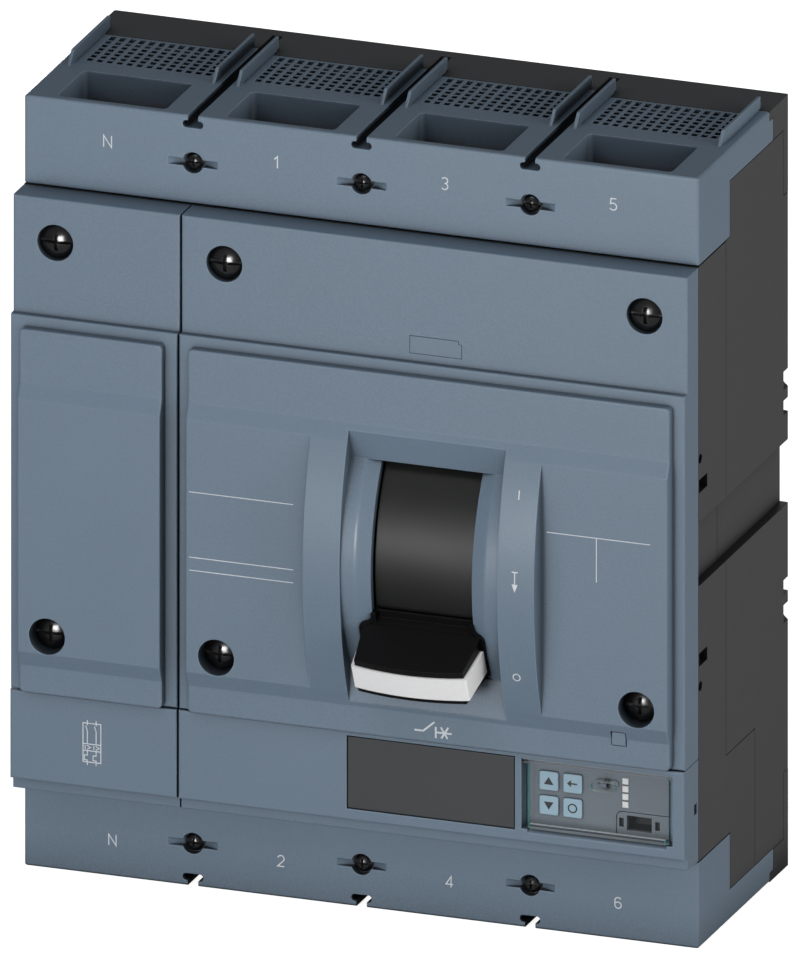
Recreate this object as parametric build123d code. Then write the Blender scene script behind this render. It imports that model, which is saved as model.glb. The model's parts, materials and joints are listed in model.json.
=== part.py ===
from build123d import *
import math
import os

# Four-pole moulded case circuit breaker, in millimetres.
# +Z is up, the front faces -Y and +X is to the right of someone facing it.
# The origin is the middle of the rear mounting face.

os.makedirs("parts", exist_ok=True)

# ---------------------------------------------------------------- overall case
POLE_PITCH = 70.0
POLE_COUNT = 4
HEIGHT = 320.0
CASE_DEPTH = 103.0  # rear face to the front of the terminal covers
SEAM = 0.35  # open seam between two mouldings
WALL = 3.2  # outer wall of the covers
EDGE_R = 0.7  # rounding of the moulded edges that a hand meets
CORNER_R = 1.0

WIDTH = POLE_PITCH * POLE_COUNT
RIGHT = WIDTH / 2
LEFT = -RIGHT
TOP = HEIGHT / 2
BOTTOM = -TOP
FRONT = -CASE_DEPTH
POLES = [(i - (POLE_COUNT - 1) / 2) * POLE_PITCH for i in range(POLE_COUNT)]
BOUNDARIES = [(a + b) / 2 for a, b in zip(POLES, POLES[1:])]
HANDLE_X = POLES[2]  # the operating handle stands over the middle phase

# ------------------------------------------------------------ seams in the case
HOUSING_SEAM_Y = -71.5  # front housing in front of it, rear housing behind
LOW_SEAM_Y = -38.5  # the same seam below the step
LOW_STEP_Z = BOTTOM + 69.5
TERMINAL_FACE_Y = -67.0  # the terminals lie on this face
UPPER_COVER_H = 36.5
LOWER_COVER_H = 36.0
UPPER_ARM_T = 13.0  # how thick the terminal cover is over the end of the case
LOWER_ARM_T = 12.5
END_PLATE_T = 6.0
END_PLATE_H = 40.0
ARM_REAR_Y = -18.0
ARM_REAR_STEP_Y = -22.0
ARM_REAR_STEP_H = 4.0
TONGUE_Y = -27.0  # the end block reaches this far forward behind a grille

# ------------------------------------------------------------- inside the case
PARTITION = 13.0  # wall between two poles
CHAMBER_HALF = (POLE_PITCH - PARTITION) / 2
REAR_WALL = 4.0
CHAMBER_TOP_Z = TOP - 55.0
CHAMBER_LOW_Z = BOTTOM + 52.0
FRONT_BAY_TOP_Z = TOP - 42.0
FRONT_BAY_LOW_Z = BOTTOM + 74.0
TRIP_BAY_REAR_Y = -80.0

SIDE_BAND_LOW_Z = -9.5
SIDE_BAND_TOP_Z = 17.0
SIDE_BAND_D = 3.74

# ------------------------------------------------------------------ the mounts
MOUNT_X = POLE_PITCH
MOUNT_Z = TOP - 30.0
MOUNT_R = 3.3
CABLE_HALF_W = 22.7  # half the width of a busbar window
CABLE_FRONT_Y = -99.7
CABLE_REAR_Y = -69.0
CABLE_R = 2.0

# --------------------------------------------------------------- terminal bars
BAR_W = 40.0
BAR_T = 8.0
BAR_END_GAP = 15.0  # from the end of the case to the end of the bar
BAR_SLIT = 1.0  # clearance of the bar in its slit
TERMINAL_HOLE_R = 5.5
TERMINAL_HOLE_Z = TOP - 29.0
NUT_AF = 17.0
NUT_T = 8.0
NUT_FIT = 0.3
LINE_BAR_REAR_Y = -22.0
LINE_RUN_TOP_Z = TOP - 64.0
LOAD_BAR_REAR_Y = -24.0
LOAD_RUN_TOP_Z = BOTTOM + 64.0

# ------------------------------------------------------------------- vents
VENT_PITCH_X = 4.115
VENT_PITCH_Y = 4.13
VENT_HOLE_W = 2.5
VENT_HOLE_L = 3.0
VENT_FRONT_Y = -60.3
VENT_ROWS = 7
VENT_T = 3.2
VENT_SLAT_T = 0.6  # cross slats between the louvre's ribs
VENT_LEDGE = 1.8
RIB_T = 1.2
RIB_H = 5.2
RIB_OFFSET = 5.0  # from the pole boundary
RIB_FRONT_Y = -66.0
RIB_REAR_Y = -20.2
SLOT_NECK_W = 4.4
SLOT_BAR_W = 8.5
SLOT_BAR_H = 3.0
SLOT_NECK_D = 2.2
SLOT_REAR_Y = -6.0

# ------------------------------------------------------------------ the covers
COVER_UPPER_Y = -115.8
COVER_FRAME_Y = -118.8
TRIP_FRONT_Y = -119.5
PANEL_LOW_Y = -122.8
PANEL_Y = -125.3
WING_Y = -134.4
COVER_TOP_Z = TOP - 37.0
FRAME_STEP_Z = TOP - 85.4
TRIP_SEAM_Z = BOTTOM + 79.2
TRIP_FOOT_Z = BOTTOM + 42.0
COVER_FOOT_Z = BOTTOM + 36.7
COVER_SPLIT_X = -70.4
COVER_SPLIT_W = 0.7
PANEL_INSET = 5.0
PANEL_TOP_Z = TOP - 89.7
PANEL_RISE_Z = 48.4
PLATEAU_TOP_Z = 42.0
PLATEAU_LOW_Z = -62.8
PANEL_FALL_Z = -69.1
PANEL_FOOT_Z = TRIP_SEAM_Z + 0.4
PANEL_CORNER_R = 2.0
WING_HALF = 48.0

# ------------------------------------------------------------------ the handle
PIVOT_Y = -54.0
PIVOT_Z = -10.5
HANDLE_THROW = 46.0  # degrees from off to on
HANDLE_OFF = 22.9  # degrees below the horizontal when off
WINDOW_HALF = 32.7
WINDOW_TOP_Z = 45.5
WINDOW_LOW_Z = -67.0
CHEEK_R = 79.2
CHEEK_TOP_Z = 33.2
CHEEK_LOW_Z = -51.5
CHEEK_EDGE_HALF = 26.7
SLOT_HALF = 21.0
SLOT_EDGE_DROP = 2.2
RIDGE_R = 4.0  # rounding where the floor turns down to the slot
SHUTTER_R = 73.0
SHUTTER_T = 2.2
SHUTTER_HALF = 20.6
SHUTTER_GAP = 1.3
VAULT_R = SHUTTER_R + SHUTTER_GAP
SHUTTER_UP = 59.0  # degrees each way from the lever's centre line
SHUTTER_DOWN = 54.0
LEVER_TIP_R = 96.6
LEVER_ROOT_R = 80.0
LEVER_ROOT_HALF_T = 10.0
LEVER_TIP_HALF_T = 7.8
LEVER_ROOT_HALF_W = 24.0
LEVER_TIP_HALF_W = 22.5
LEVER_BOW = 2.2
CAP_T = 2.0
CAP_TOP_BAND = 2.9
CAP_LOW_BAND = 1.8
LEVER_SINK = 2.2  # how far the knob reaches down beside the slot, below its root
CAP_PROUD = 0.9  # the cap stands out in front of the black bands
CAP_SIDE_PROUD = 1.4
CAP_CORNER_R = 1.0
SKIRT_HALF = 26.0
SKIRT_TOP = 11.2  # height of the ears over the lever's centre line
SKIRT_NECK = 14.4  # height of the skirt inside the slot
SKIRT_LOW = 8.8
SKIRT_GAP = 0.3  # above the window's floor
SKIRT_T = 0.8
SKIRT_EAR_R = 2.5
NECK_HALF = 20.5
NECK_REAR_R = 73.1
NECK_T = 0.7  # of the neck above the lever, where it lies on the shutter
STEM_HALF_T = 5.0
STEM_HALF_W = 15.0
YOKE_R0 = 60.0
YOKE_R1 = 64.0
YOKE_HALF = 23.0
YOKE_T = 2.5
PIVOT_PIN_R = 4.0
RUN_FIT = 0.05  # radial clearance of a turning pin

# ----------------------------------------------------------- contact mechanism
SHAFT_Y = -38.0
SHAFT_Z = -34.0
SHAFT_R = 11.0
COLLAR_R = 15.0
ARM_OPEN = 25.0  # degrees the contacts open
ARM_HALF_W = 9.0
ARM_T = 8.0
ARM_FACE_Y = -37.0  # rear face of a closed arm
ARM_TOP_Z = 46.0
TIP_T = 3.0
TIP_H = 11.0
CONTACT_GAP = 0.1
CHUTE_PLATES = 7
CHUTE_PITCH = 3.5
CHUTE_PLATE_T = 1.6
CHUTE_REAR_Y = -44.0
CHUTE_LOW_Z = 30.0
CHUTE_TOP_Z = 57.0
CHUTE_HALF = 24.0
CHUTE_NOTCH_HALF = 11.0
CHUTE_NOTCH_Z = 48.0
CHUTE_WALL_T = 2.0
PLATE_T = 2.5

# --------------------------------------------------------- trip bar and release
TRIP_BAR_Y = -94.0
TRIP_BAR_Z = -50.0
TRIP_BAR_R = 3.0
LATCH_Y = -72.0
LATCH_Z = -44.0
LATCH_R = 2.0
LATCH_HALF = 10.0
LATCH_EDGE = 0.8
BUTTON_X = POLES[3] + 9.2
BUTTON_Z = -69.0
BUTTON_W = 5.8
BUTTON_H = 5.6
BUTTON_FACE_Y = -123.4
BUTTON_FIT = 0.3
BUTTON_STEM_R = 2.0
STEM_END_Y = FRONT + 5
ACTUATOR_X = POLES[3] - 13.0
ACTUATOR_Y = -84.0
PLUNGER_R = 2.0

# ------------------------------------------------------------------ trip unit
DISPLAY_X0 = 0.2
DISPLAY_X1 = 69.4
DISPLAY_Z0 = BOTTOM + 47.0
DISPLAY_Z1 = BOTTOM + 76.7
DISPLAY_T = 2.4
FLUSH_FIT = 0.35
KEYPAD_X0 = 72.4
KEYPAD_X1 = 135.2
KEYPAD_Z0 = BOTTOM + 47.4
KEYPAD_Z1 = BOTTOM + 76.6
KEYPAD_Y = -113.2  # front face of the keypad panel
KEYPAD_T = 2.0
KEYPAD_LEDGE = 3.6  # step of the recess's floor at the right of the panel
KEY_W = 7.8
KEY_H = 7.8
KEY_PROUD = 0.9
KEY_COLUMNS = (81.8, 91.7)
KEY_ROWS = (BOTTOM + 66.4, BOTTOM + 56.2)
KEY_FIT = 0.15
LAMP_X = 113.4
LAMP_Z0 = BOTTOM + 69.9
LAMP_PITCH = 3.23
LAMP_W = 2.5
LAMP_COUNT = 4
PORT_X0 = 113.9
PORT_X1 = 124.3
PORT_Z0 = BOTTOM + 49.6
PORT_Z1 = BOTTOM + 55.8
PORT_D = 9.0
PORT_SHELL = 0.9  # wall of the connector
PORT_FRAME_X0 = 109.8
PORT_FRAME_Z1 = BOTTOM + 57.1
PORT_FRAME_R = 2.2
PORT_FRAME_FIT = 0.3
KEYWAY_XS = (111.7, 126.7)
KEYWAY_W = 1.9
KEYWAY_H = 3.6
LUG_X = 106.0
LUG_Z = BOTTOM + 68.2
LUG_R = 1.9
LUG_FOOT_W = 9.4
LUG_FOOT_H = 3.2
FLAP_X0 = 74.7
FLAP_X1 = 133.5
FLAP_T = 1.8
FLAP_PIN_R = 1.0
FLAP_FIT = 0.35
FLAP_SLOT_FIT = 0.4
FLAP_AXIS_Y = -117.5
FLAP_AXIS_Z = BOTTOM + 75.1

# ------------------------------------------------------------------ fasteners
SCREW_XS = (-122.5, -52.3, 122.2)
SCREW_ZS = (105.0, -55.3)
SCREW_HEAD_R = 7.1
SCREW_HEAD_FIT = 0.4
SCREW_RIM_H = 1.7
SCREW_DOME_H = 2.3
SCREW_SHANK_R = 2.5
SCREW_LEN = 22.0
SCREW_UPPER_SEAT_Y = -111.3
SCREW_LOWER_SEAT_Y = -117.1
SCREW_SLOT_W = 1.3
SCREW_CROSS = 3.6
SCREW_BOSS_R = 7.5
SCREW_BOSS_YS = (-86.0, -93.0)  # rear ends of the upper and lower bosses
THREAD_FIT = 0.05
SHANK_FIT = 0.4
SMALL_HEAD_R = 3.7
SMALL_HOLE_R = 4.4
SMALL_RIM_H = 1.2
SMALL_DOME_H = 1.6
SMALL_SHANK_R = 1.9
SMALL_SCREW_LEN = 42.0
SMALL_SLOT_W = 0.8
SMALL_CROSS = 1.9
SMALL_SEAT_Y = -99.6
SMALL_UPPER_Z = TOP - 19.6
SMALL_LOWER_Z = BOTTOM + 17.8
SLIT_W = 20.9
SLIT_H = 3.1
SLIT_D = 3.6


# ==================================================================== helpers
def block(x0, x1, y0, y1, z0, z1):
    """A box between two corners."""
    return Pos(x0, y0, z0) * Box(x1 - x0, y1 - y0, z1 - z0, align=(Align.MIN,) * 3)


def rod_x(y, z, r, x0, x1):
    """A cylinder along X."""
    low = (Align.CENTER, Align.CENTER, Align.MIN)
    return Pos(x0, y, z) * Rot(Y=90) * Cylinder(r, x1 - x0, align=low)


def rod_y(x, z, r, y0, y1):
    """A cylinder along Y."""
    low = (Align.CENTER, Align.CENTER, Align.MIN)
    return Pos(x, y0, z) * Rot(X=-90) * Cylinder(r, y1 - y0, align=low)


def rod_z(x, y, r, z0, z1):
    """A cylinder along Z."""
    low = (Align.CENTER, Align.CENTER, Align.MIN)
    return Pos(x, y, z0) * Cylinder(r, z1 - z0, align=low)


def side_profile(points, x0, x1):
    """A prism along X whose outline is a list of (y, z) points."""
    return side_face(make_face(Polyline(*points, close=True)), x0, x1)


def side_face(face, x0, x1):
    """A prism along X from a face drawn in Y and Z."""
    return Pos(x0, 0, 0) * extrude(Plane.YZ * face, x1 - x0, dir=(1, 0, 0))


def front_face(face, y0, y1):
    """A prism along Y from a face drawn in X and Z."""
    return Pos(0, y0, 0) * extrude(Plane.XZ * face, y1 - y0, dir=(0, 1, 0))


def rounded_front(x0, x1, z0, z1, r, y0, y1):
    """A prism along Y with a rounded rectangular outline."""
    face = Pos((x0 + x1) / 2, (z0 + z1) / 2) * RectangleRounded(x1 - x0, z1 - z0, r)
    return front_face(face, y0, y1)


def polar(r, degrees):
    """(y, z) at a radius from the handle's pivot, degrees above the horizontal."""
    a = math.radians(degrees)
    return PIVOT_Y - r * math.cos(a), PIVOT_Z + r * math.sin(a)


def sector(r0, r1, low, high, x0, x1):
    """An arched plate about the handle's pivot, between two radii and two angles."""
    mid = (low + high) / 2
    outer = ThreePointArc(polar(r1, low), polar(r1, mid), polar(r1, high))
    inner = ThreePointArc(polar(r0, high), polar(r0, mid), polar(r0, low))
    ends = [Line(polar(r1, high), polar(r0, high)), Line(polar(r0, low), polar(r1, low))]
    return side_face(make_face([outer, ends[0], inner, ends[1]]), x0, x1)


def edges_near(shape, **planes):
    """Straight or curved edges that lie wholly in the given planes, such as X=10."""
    found = []
    for edge in shape.edges():
        box = edge.bounding_box()
        if all(
            abs(getattr(box.min, k) - v) < 0.01 and abs(getattr(box.max, k) - v) < 0.01
            for k, v in planes.items()
        ):
            found.append(edge)
    return found


def turned(shape, y, z, degrees):
    """The shape turned about an X axis through (y, z); positive tips its top forward."""
    return Pos(0, y, z) * Rot(X=degrees) * Pos(0, -y, -z) * shape


def group(items):
    """Separate solids in one node."""
    solids = [s for item in items for s in item.solids()]
    return Compound(children=solids)


def mirrored(shape):
    """The shape turned upside down for the other end of the case."""
    return shape.mirror(Plane.XY)


# =================================================================== the case
def side_trim(housing, depth_front):
    """The recessed band across each flank, and the small notches in its rear edges."""
    for side in (-1, 1):
        outer = side * RIGHT
        x0, x1 = sorted((outer + side, outer - side * SIDE_BAND_D))
        housing -= block(x0, x1, depth_front, 1, SIDE_BAND_LOW_Z, SIDE_BAND_TOP_Z)
    return housing


def rear_notches(housing):
    """Latch notches in the rear edges of both flanks."""
    for side in (-1, 1):
        outer = side * RIGHT
        for z0, z1, deep in ((28.5, 34.5, 2.2), (-46.0, -40.0, 2.2)):
            x0, x1 = sorted((outer + side, outer - side * deep))
            housing -= block(x0, x1, -6.0, 1, z0, z1)
        for z in (42.7, -54.2):
            housing -= rod_y(outer + side * 1.2, z, 4.0, -6.0, 1)
    return housing


def mount_holes(y0, y1, zs):
    """The four screw passages through the corners of the case."""
    return [rod_y(x, z, MOUNT_R, y0, y1) for x in (-MOUNT_X, MOUNT_X) for z in zs]


def make_rear_housing():
    """Base of the case: four pole chambers, open to the front."""
    outline = [
        (0, BOTTOM + END_PLATE_H + SEAM),
        (0, TOP - END_PLATE_H - SEAM),
        (-END_PLATE_T - SEAM, TOP - END_PLATE_H - SEAM),
        (-END_PLATE_T - SEAM, TOP - UPPER_ARM_T - SEAM),
        (TERMINAL_FACE_Y, TOP - UPPER_ARM_T - SEAM),
        (TERMINAL_FACE_Y, TOP - UPPER_COVER_H),
        (HOUSING_SEAM_Y, TOP - UPPER_COVER_H),
        (HOUSING_SEAM_Y, LOW_STEP_Z + SEAM),
        (LOW_SEAM_Y, LOW_STEP_Z + SEAM),
        (LOW_SEAM_Y, BOTTOM + LOWER_ARM_T + SEAM),
        (-END_PLATE_T - SEAM, BOTTOM + LOWER_ARM_T + SEAM),
        (-END_PLATE_T - SEAM, BOTTOM + END_PLATE_H + SEAM),
    ]
    case = side_profile(outline, LEFT, RIGHT)
    case = fillet(case.edges().filter_by(Axis.Z).filter_by_position(Axis.Y, -1, 1), 1.2)
    for x in POLES:
        case -= block(
            x - CHAMBER_HALF, x + CHAMBER_HALF,
            HOUSING_SEAM_Y - 1, -REAR_WALL,
            CHAMBER_LOW_Z, CHAMBER_TOP_Z,
        )
        slit = BAR_W / 2 + BAR_SLIT
        case -= block(
            x - slit, x + slit,
            HOUSING_SEAM_Y - 1, TERMINAL_FACE_Y,
            CHAMBER_TOP_Z - 1, TOP - UPPER_COVER_H + 1,
        )
        # gas duct from the arc chute up to the vent grille
        case -= block(x - 24, x + 24, -58, -32, CHAMBER_TOP_Z - 1, TOP)
    # saddle of the contact shaft across the partitions
    case -= rod_x(SHAFT_Y, SHAFT_Z, SHAFT_R + RUN_FIT, LEFT + 8, RIGHT - 8)
    case -= block(
        LEFT + 8, RIGHT - 8,
        HOUSING_SEAM_Y - 1, SHAFT_Y,
        SHAFT_Z - SHAFT_R - RUN_FIT, SHAFT_Z + SHAFT_R + RUN_FIT,
    )
    for cutter in mount_holes(-80, 1, (MOUNT_Z, -MOUNT_Z)):
        case -= cutter
    case = side_trim(case, -110)
    case = rear_notches(case)
    # pockets that hold the nuts behind the upper terminals
    for x in POLES:
        case -= nut_pocket(x, TERMINAL_HOLE_Z)
    for x in BOUNDARIES:
        case -= rod_y(
            x, SMALL_UPPER_Z, SMALL_SHANK_R + THREAD_FIT, TERMINAL_FACE_Y - 1, -54
        )
    return case


def hexagon(x, z, across_flats):
    """Hexagonal outline of a nut or its seat, seen from the front."""
    return Pos(x, z) * RegularPolygon(across_flats / 2, 6, major_radius=False)


def nut_pocket(x, z):
    """Hexagonal seat for a terminal nut, sunk in the face that the bar lies on."""
    y0 = TERMINAL_FACE_Y - 1
    return front_face(hexagon(x, z, NUT_AF + 2 * NUT_FIT), y0, y0 + NUT_T + 5)


def make_front_housing():
    """Middle of the case, between the base and the covers."""
    outline = [
        (HOUSING_SEAM_Y - SEAM, TOP - UPPER_COVER_H - SEAM),
        (FRONT, TOP - UPPER_COVER_H - SEAM),
        (FRONT, BOTTOM + LOWER_COVER_H + SEAM),
        (TERMINAL_FACE_Y, BOTTOM + LOWER_COVER_H + SEAM),
        (TERMINAL_FACE_Y, BOTTOM + LOWER_ARM_T + SEAM),
        (LOW_SEAM_Y - SEAM, BOTTOM + LOWER_ARM_T + SEAM),
        (LOW_SEAM_Y - SEAM, LOW_STEP_Z),
        (HOUSING_SEAM_Y - SEAM, LOW_STEP_Z),
    ]
    case = side_profile(outline, LEFT, RIGHT)
    slit = BAR_W / 2 + BAR_SLIT
    for x in POLES:
        case -= block(
            x - CHAMBER_HALF, x + CHAMBER_HALF,
            FRONT - 1, HOUSING_SEAM_Y + 1,
            FRONT_BAY_LOW_Z, FRONT_BAY_TOP_Z,
        )
        case -= block(
            x - slit, x + slit,
            TERMINAL_FACE_Y - BAR_T - BAR_SLIT, HOUSING_SEAM_Y + 1,
            FRONT_BAY_TOP_Z - 1, TOP,
        )
        case -= block(
            x - CHAMBER_HALF, x + CHAMBER_HALF,
            TERMINAL_FACE_Y - BAR_T - 4, LOW_SEAM_Y + 1,
            BOTTOM + 40, LOW_STEP_Z + 1,
        )
        case -= block(
            x - slit, x + slit,
            TERMINAL_FACE_Y - BAR_T - BAR_SLIT, TERMINAL_FACE_Y,
            BOTTOM, BOTTOM + 41,
        )
        case -= nut_pocket(x, -TERMINAL_HOLE_Z)
    # bay of the electronic trip unit, across the three phases
    case -= block(
        BOUNDARIES[0] + 6, RIGHT - 6,
        FRONT - 1, TRIP_BAY_REAR_Y,
        BOTTOM + 42, FRONT_BAY_LOW_Z + 1,
    )
    # bosses that the cover screws bite into
    for x in SCREW_XS:
        pole = min(POLES, key=lambda p: abs(p - x))
        wall = pole + math.copysign(CHAMBER_HALF + 1, x - pole)
        x0, x1 = sorted((wall, x))
        for z, rear in zip(SCREW_ZS, SCREW_BOSS_YS):
            case += rod_y(x, z, SCREW_BOSS_R, FRONT, rear)
            case += block(x0, x1, FRONT, rear, z - 3, z + 3)
            case -= rod_y(x, z, SCREW_SHANK_R + THREAD_FIT, FRONT - 1, rear + 1)
    # seat of the push-to-trip spring, with its guide hole
    wall = POLES[3] + CHAMBER_HALF + 1
    case += block(BUTTON_X - 8, wall, FRONT, FRONT + 3, BUTTON_Z - 6, BUTTON_Z + 6)
    case -= rod_y(BUTTON_X, BUTTON_Z, BUTTON_STEM_R + BUTTON_FIT, FRONT - 1, FRONT + 4)
    # passages of the trip bar
    case -= rod_x(TRIP_BAR_Y, TRIP_BAR_Z, TRIP_BAR_R + RUN_FIT, HANDLE_X, BUTTON_X)
    case = side_trim(case, -110)
    for x in BOUNDARIES:
        case -= rod_y(
            x, SMALL_LOWER_Z, SMALL_SHANK_R + THREAD_FIT, TERMINAL_FACE_Y - 1, -54
        )
    for cutter in mount_holes(-80, 1, (-MOUNT_Z,)):
        case -= cutter
    # small pockets in the flanks' front edges, where accessories clip on
    for side in (-1, 1):
        x0, x1 = sorted((side * (RIGHT + 1), side * (RIGHT - 5)))
        for z in (43.0, -51.5):
            case -= rod_x(FRONT + 2, z, 2.0, x0, x1)
        for z0, z1 in ((29.0, 34.5), (-43.0, -37.5)):
            case -= block(x0, x1, FRONT + 0.5, FRONT + 10, z0, z1)
    return case


# ======================================================= terminal covers, ends
def t_slot(x, y0, y1, top):
    """Groove for a phase barrier: a narrow neck over a wider, round-ended bar."""
    bar_top = top - SLOT_NECK_D
    neck = block(x - SLOT_NECK_W / 2, x + SLOT_NECK_W / 2, y0, y1, bar_top - 1, top + 1)
    bar = rounded_front(
        x - SLOT_BAR_W / 2, x + SLOT_BAR_W / 2,
        bar_top - SLOT_BAR_H, bar_top,
        SLOT_BAR_H / 2 - 0.05, y0, y1,
    )
    return neck + bar


def vent_half():
    """Half the width of a vent grille."""
    return POLE_PITCH / 2 - RIB_OFFSET - RIB_T / 2 - 0.2


def terminal_cover(arm_t, cover_h, screw_z, ribs):
    """Cover over one end's terminals, modelled at the top of the case."""
    inner = TOP - arm_t
    outline = [
        (FRONT, TOP - cover_h + SEAM),
        (FRONT, TOP),
        (ARM_REAR_STEP_Y, TOP),
        (ARM_REAR_STEP_Y, TOP - ARM_REAR_STEP_H),
        (ARM_REAR_Y, TOP - ARM_REAR_STEP_H),
        (ARM_REAR_Y, inner),
        (TERMINAL_FACE_Y - SEAM, inner),
        (TERMINAL_FACE_Y - SEAM, TOP - cover_h + SEAM),
    ]
    cover = side_profile(outline, LEFT, RIGHT)
    rims = edges_near(cover, Y=FRONT, Z=TOP)
    for x in (LEFT, RIGHT):
        rims += edges_near(cover, Y=FRONT, X=x)
        rims += edges_near(cover, Z=TOP, X=x)
    cover = fillet(rims, CORNER_R)
    side = WALL + 1.3
    for x in POLES:
        half = POLE_PITCH / 2 - side
        cover -= block(
            x - half, x + half, CABLE_FRONT_Y, TERMINAL_FACE_Y + 1, TOP - cover_h - 1, inner
        )
        mouth = Pos(x, (CABLE_FRONT_Y + CABLE_REAR_Y) / 2) * RectangleRounded(
            2 * CABLE_HALF_W, CABLE_REAR_Y - CABLE_FRONT_Y, CABLE_R
        )
        cover -= Pos(0, 0, inner - 1) * extrude(mouth, arm_t + 2, dir=(0, 0, 1))
        cover -= vent_pocket(x, inner)
    if ribs:
        for x in POLES:
            for s in (-1, 1):
                cover += barrier_rib(x + s * (POLE_PITCH / 2 - RIB_OFFSET))
    for x in BOUNDARIES:
        cover -= t_slot(x, FRONT - 1, 0, TOP)
        cover -= rod_y(x, screw_z, SMALL_HOLE_R, FRONT - 1, SMALL_SEAT_Y)
        cover -= rod_y(x, screw_z, SMALL_SHANK_R + SHANK_FIT, FRONT - 1, 0)
        reach = ((SLIT_W / 2) ** 2 + SLIT_D**2) / (2 * SLIT_D)
        scoop = rod_z(x, FRONT - reach + SLIT_D, reach, screw_z - SLIT_H / 2, screw_z + SLIT_H / 2)
        cover -= scoop
    return cover


def vent_pocket(x, inner):
    """Opening under a grille, with a ledge that the grille rests on."""
    half = vent_half() + 0.15
    upper = block(x - half, x + half, VENT_FRONT_Y - 0.15, 0, TOP - VENT_T, TOP + 1)
    lower = block(
        x - half + VENT_LEDGE, x + half - VENT_LEDGE,
        VENT_FRONT_Y + VENT_LEDGE, TONGUE_Y - VENT_LEDGE, inner - 1, TOP,
    )
    tongue = block(x - half, x + half, TONGUE_Y - SEAM, 0, inner - 1, TOP + 1)
    return upper + lower + tongue


def barrier_rib(x):
    """Thin raised rib beside a barrier groove, raked in front, reaching over the end block."""
    top = TOP + RIB_H
    outline = [
        (RIB_FRONT_Y, TOP - 1),
        (RIB_FRONT_Y, TOP),
        (RIB_FRONT_Y + RIB_H * 0.9, top),
        (RIB_REAR_Y, top),
        (RIB_REAR_Y, TOP + SEAM),
        (ARM_REAR_STEP_Y, TOP + SEAM),
        (ARM_REAR_STEP_Y, TOP - 1),
    ]
    return side_profile(outline, x - RIB_T / 2, x + RIB_T / 2)


def vent_grille():
    """Louvre plate: thin slats with square holes over ribs that run from front to back."""
    half = vent_half()
    front, rear = VENT_FRONT_Y, TONGUE_Y - SEAM - 0.15
    columns = int((2 * half - VENT_HOLE_W) / VENT_PITCH_X)
    outline = Pos(0, (front + rear) / 2) * Rectangle(2 * half, rear - front)
    reach = VENT_PITCH_Y * (VENT_ROWS - 2) + VENT_HOLE_L
    centre = front + 2.4 + reach / 2
    field = GridLocations(VENT_PITCH_X, VENT_PITCH_Y, columns, VENT_ROWS - 1)
    row = GridLocations(VENT_PITCH_X, 1, columns, 1)
    last = Pos(0, rear - 3.6) * row * Rectangle(VENT_HOLE_W, 4.6)
    slats = outline - Pos(0, centre) * field * Rectangle(VENT_HOLE_W, VENT_HOLE_L) - last
    ribs = outline - Pos(0, centre) * row * Rectangle(VENT_HOLE_W, reach) - last
    up = (0, 0, 1)
    lower = Pos(0, 0, TOP - VENT_T) * extrude(ribs, VENT_T - VENT_SLAT_T, dir=up)
    return lower + Pos(0, 0, TOP - VENT_SLAT_T) * extrude(slats, VENT_SLAT_T, dir=up)


def end_block(arm_t, z_mount):
    """Black block that closes one end of the case, modelled at the top."""
    inner = TOP - arm_t
    outline = [
        (0, TOP - END_PLATE_H),
        (0, TOP),
        (ARM_REAR_STEP_Y + SEAM, TOP),
        (ARM_REAR_STEP_Y + SEAM, TOP - ARM_REAR_STEP_H + SEAM),
        (ARM_REAR_Y + SEAM, TOP - ARM_REAR_STEP_H + SEAM),
        (ARM_REAR_Y + SEAM, inner),
        (-END_PLATE_T, inner),
        (-END_PLATE_T, TOP - END_PLATE_H),
    ]
    body = side_profile(outline, LEFT, RIGHT)
    corners = [e for x in (LEFT, RIGHT) for e in edges_near(body, X=x, Y=0)]
    body = fillet(corners, CORNER_R)
    for x in POLES:
        half = vent_half()
        body += block(x - half, x + half, TONGUE_Y, ARM_REAR_Y + 1, inner + 3, TOP)
    for x in BOUNDARIES:
        body -= t_slot(x, -80, SLOT_REAR_Y, TOP)
    for cutter in mount_holes(-20, 1, (z_mount,)):
        body -= cutter
    return body


# ================================================================= the covers
def cover_shell(x0, x1):
    """Blank of a front cover: a flat upper part, a raised frame and a raised panel."""
    blank = block(x0, x1, COVER_UPPER_Y, FRONT - SEAM, FRAME_STEP_Z - 1, COVER_TOP_Z)
    blank = fillet(edges_near(blank, Y=COVER_UPPER_Y), EDGE_R)
    frame = block(x0, x1, COVER_FRAME_Y, FRONT - SEAM, TRIP_SEAM_Z, FRAME_STEP_Z)
    frame = fillet(edges_near(frame, Y=COVER_FRAME_Y), EDGE_R)
    return blank + frame


def raised_panel(x0, x1):
    """Raised panel of a front cover, with a plateau in its middle."""
    outline = [
        (COVER_FRAME_Y + 2, PANEL_TOP_Z),
        (PANEL_LOW_Y, PANEL_TOP_Z),
        (PANEL_LOW_Y, PANEL_RISE_Z),
        (PANEL_Y, PLATEAU_TOP_Z),
        (PANEL_Y, PLATEAU_LOW_Z),
        (PANEL_LOW_Y, PANEL_FALL_Z),
        (PANEL_LOW_Y, PANEL_FOOT_Z),
        (COVER_FRAME_Y + 2, PANEL_FOOT_Z),
    ]
    panel = side_profile(outline, x0, x1)
    panel = fillet(panel.edges().filter_by(Axis.Y), PANEL_CORNER_R)
    rims = [
        e for e in panel.edges()
        if e.bounding_box().max.Y < PANEL_LOW_Y + 0.01
        and not (
            e.bounding_box().min.X < x0 + PANEL_CORNER_R + 0.1
            and e.bounding_box().max.X > x1 - PANEL_CORNER_R - 0.1
            and PANEL_FOOT_Z + 1 < e.center().Z < PANEL_TOP_Z - 1
        )
    ]
    return fillet(rims, EDGE_R)


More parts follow.
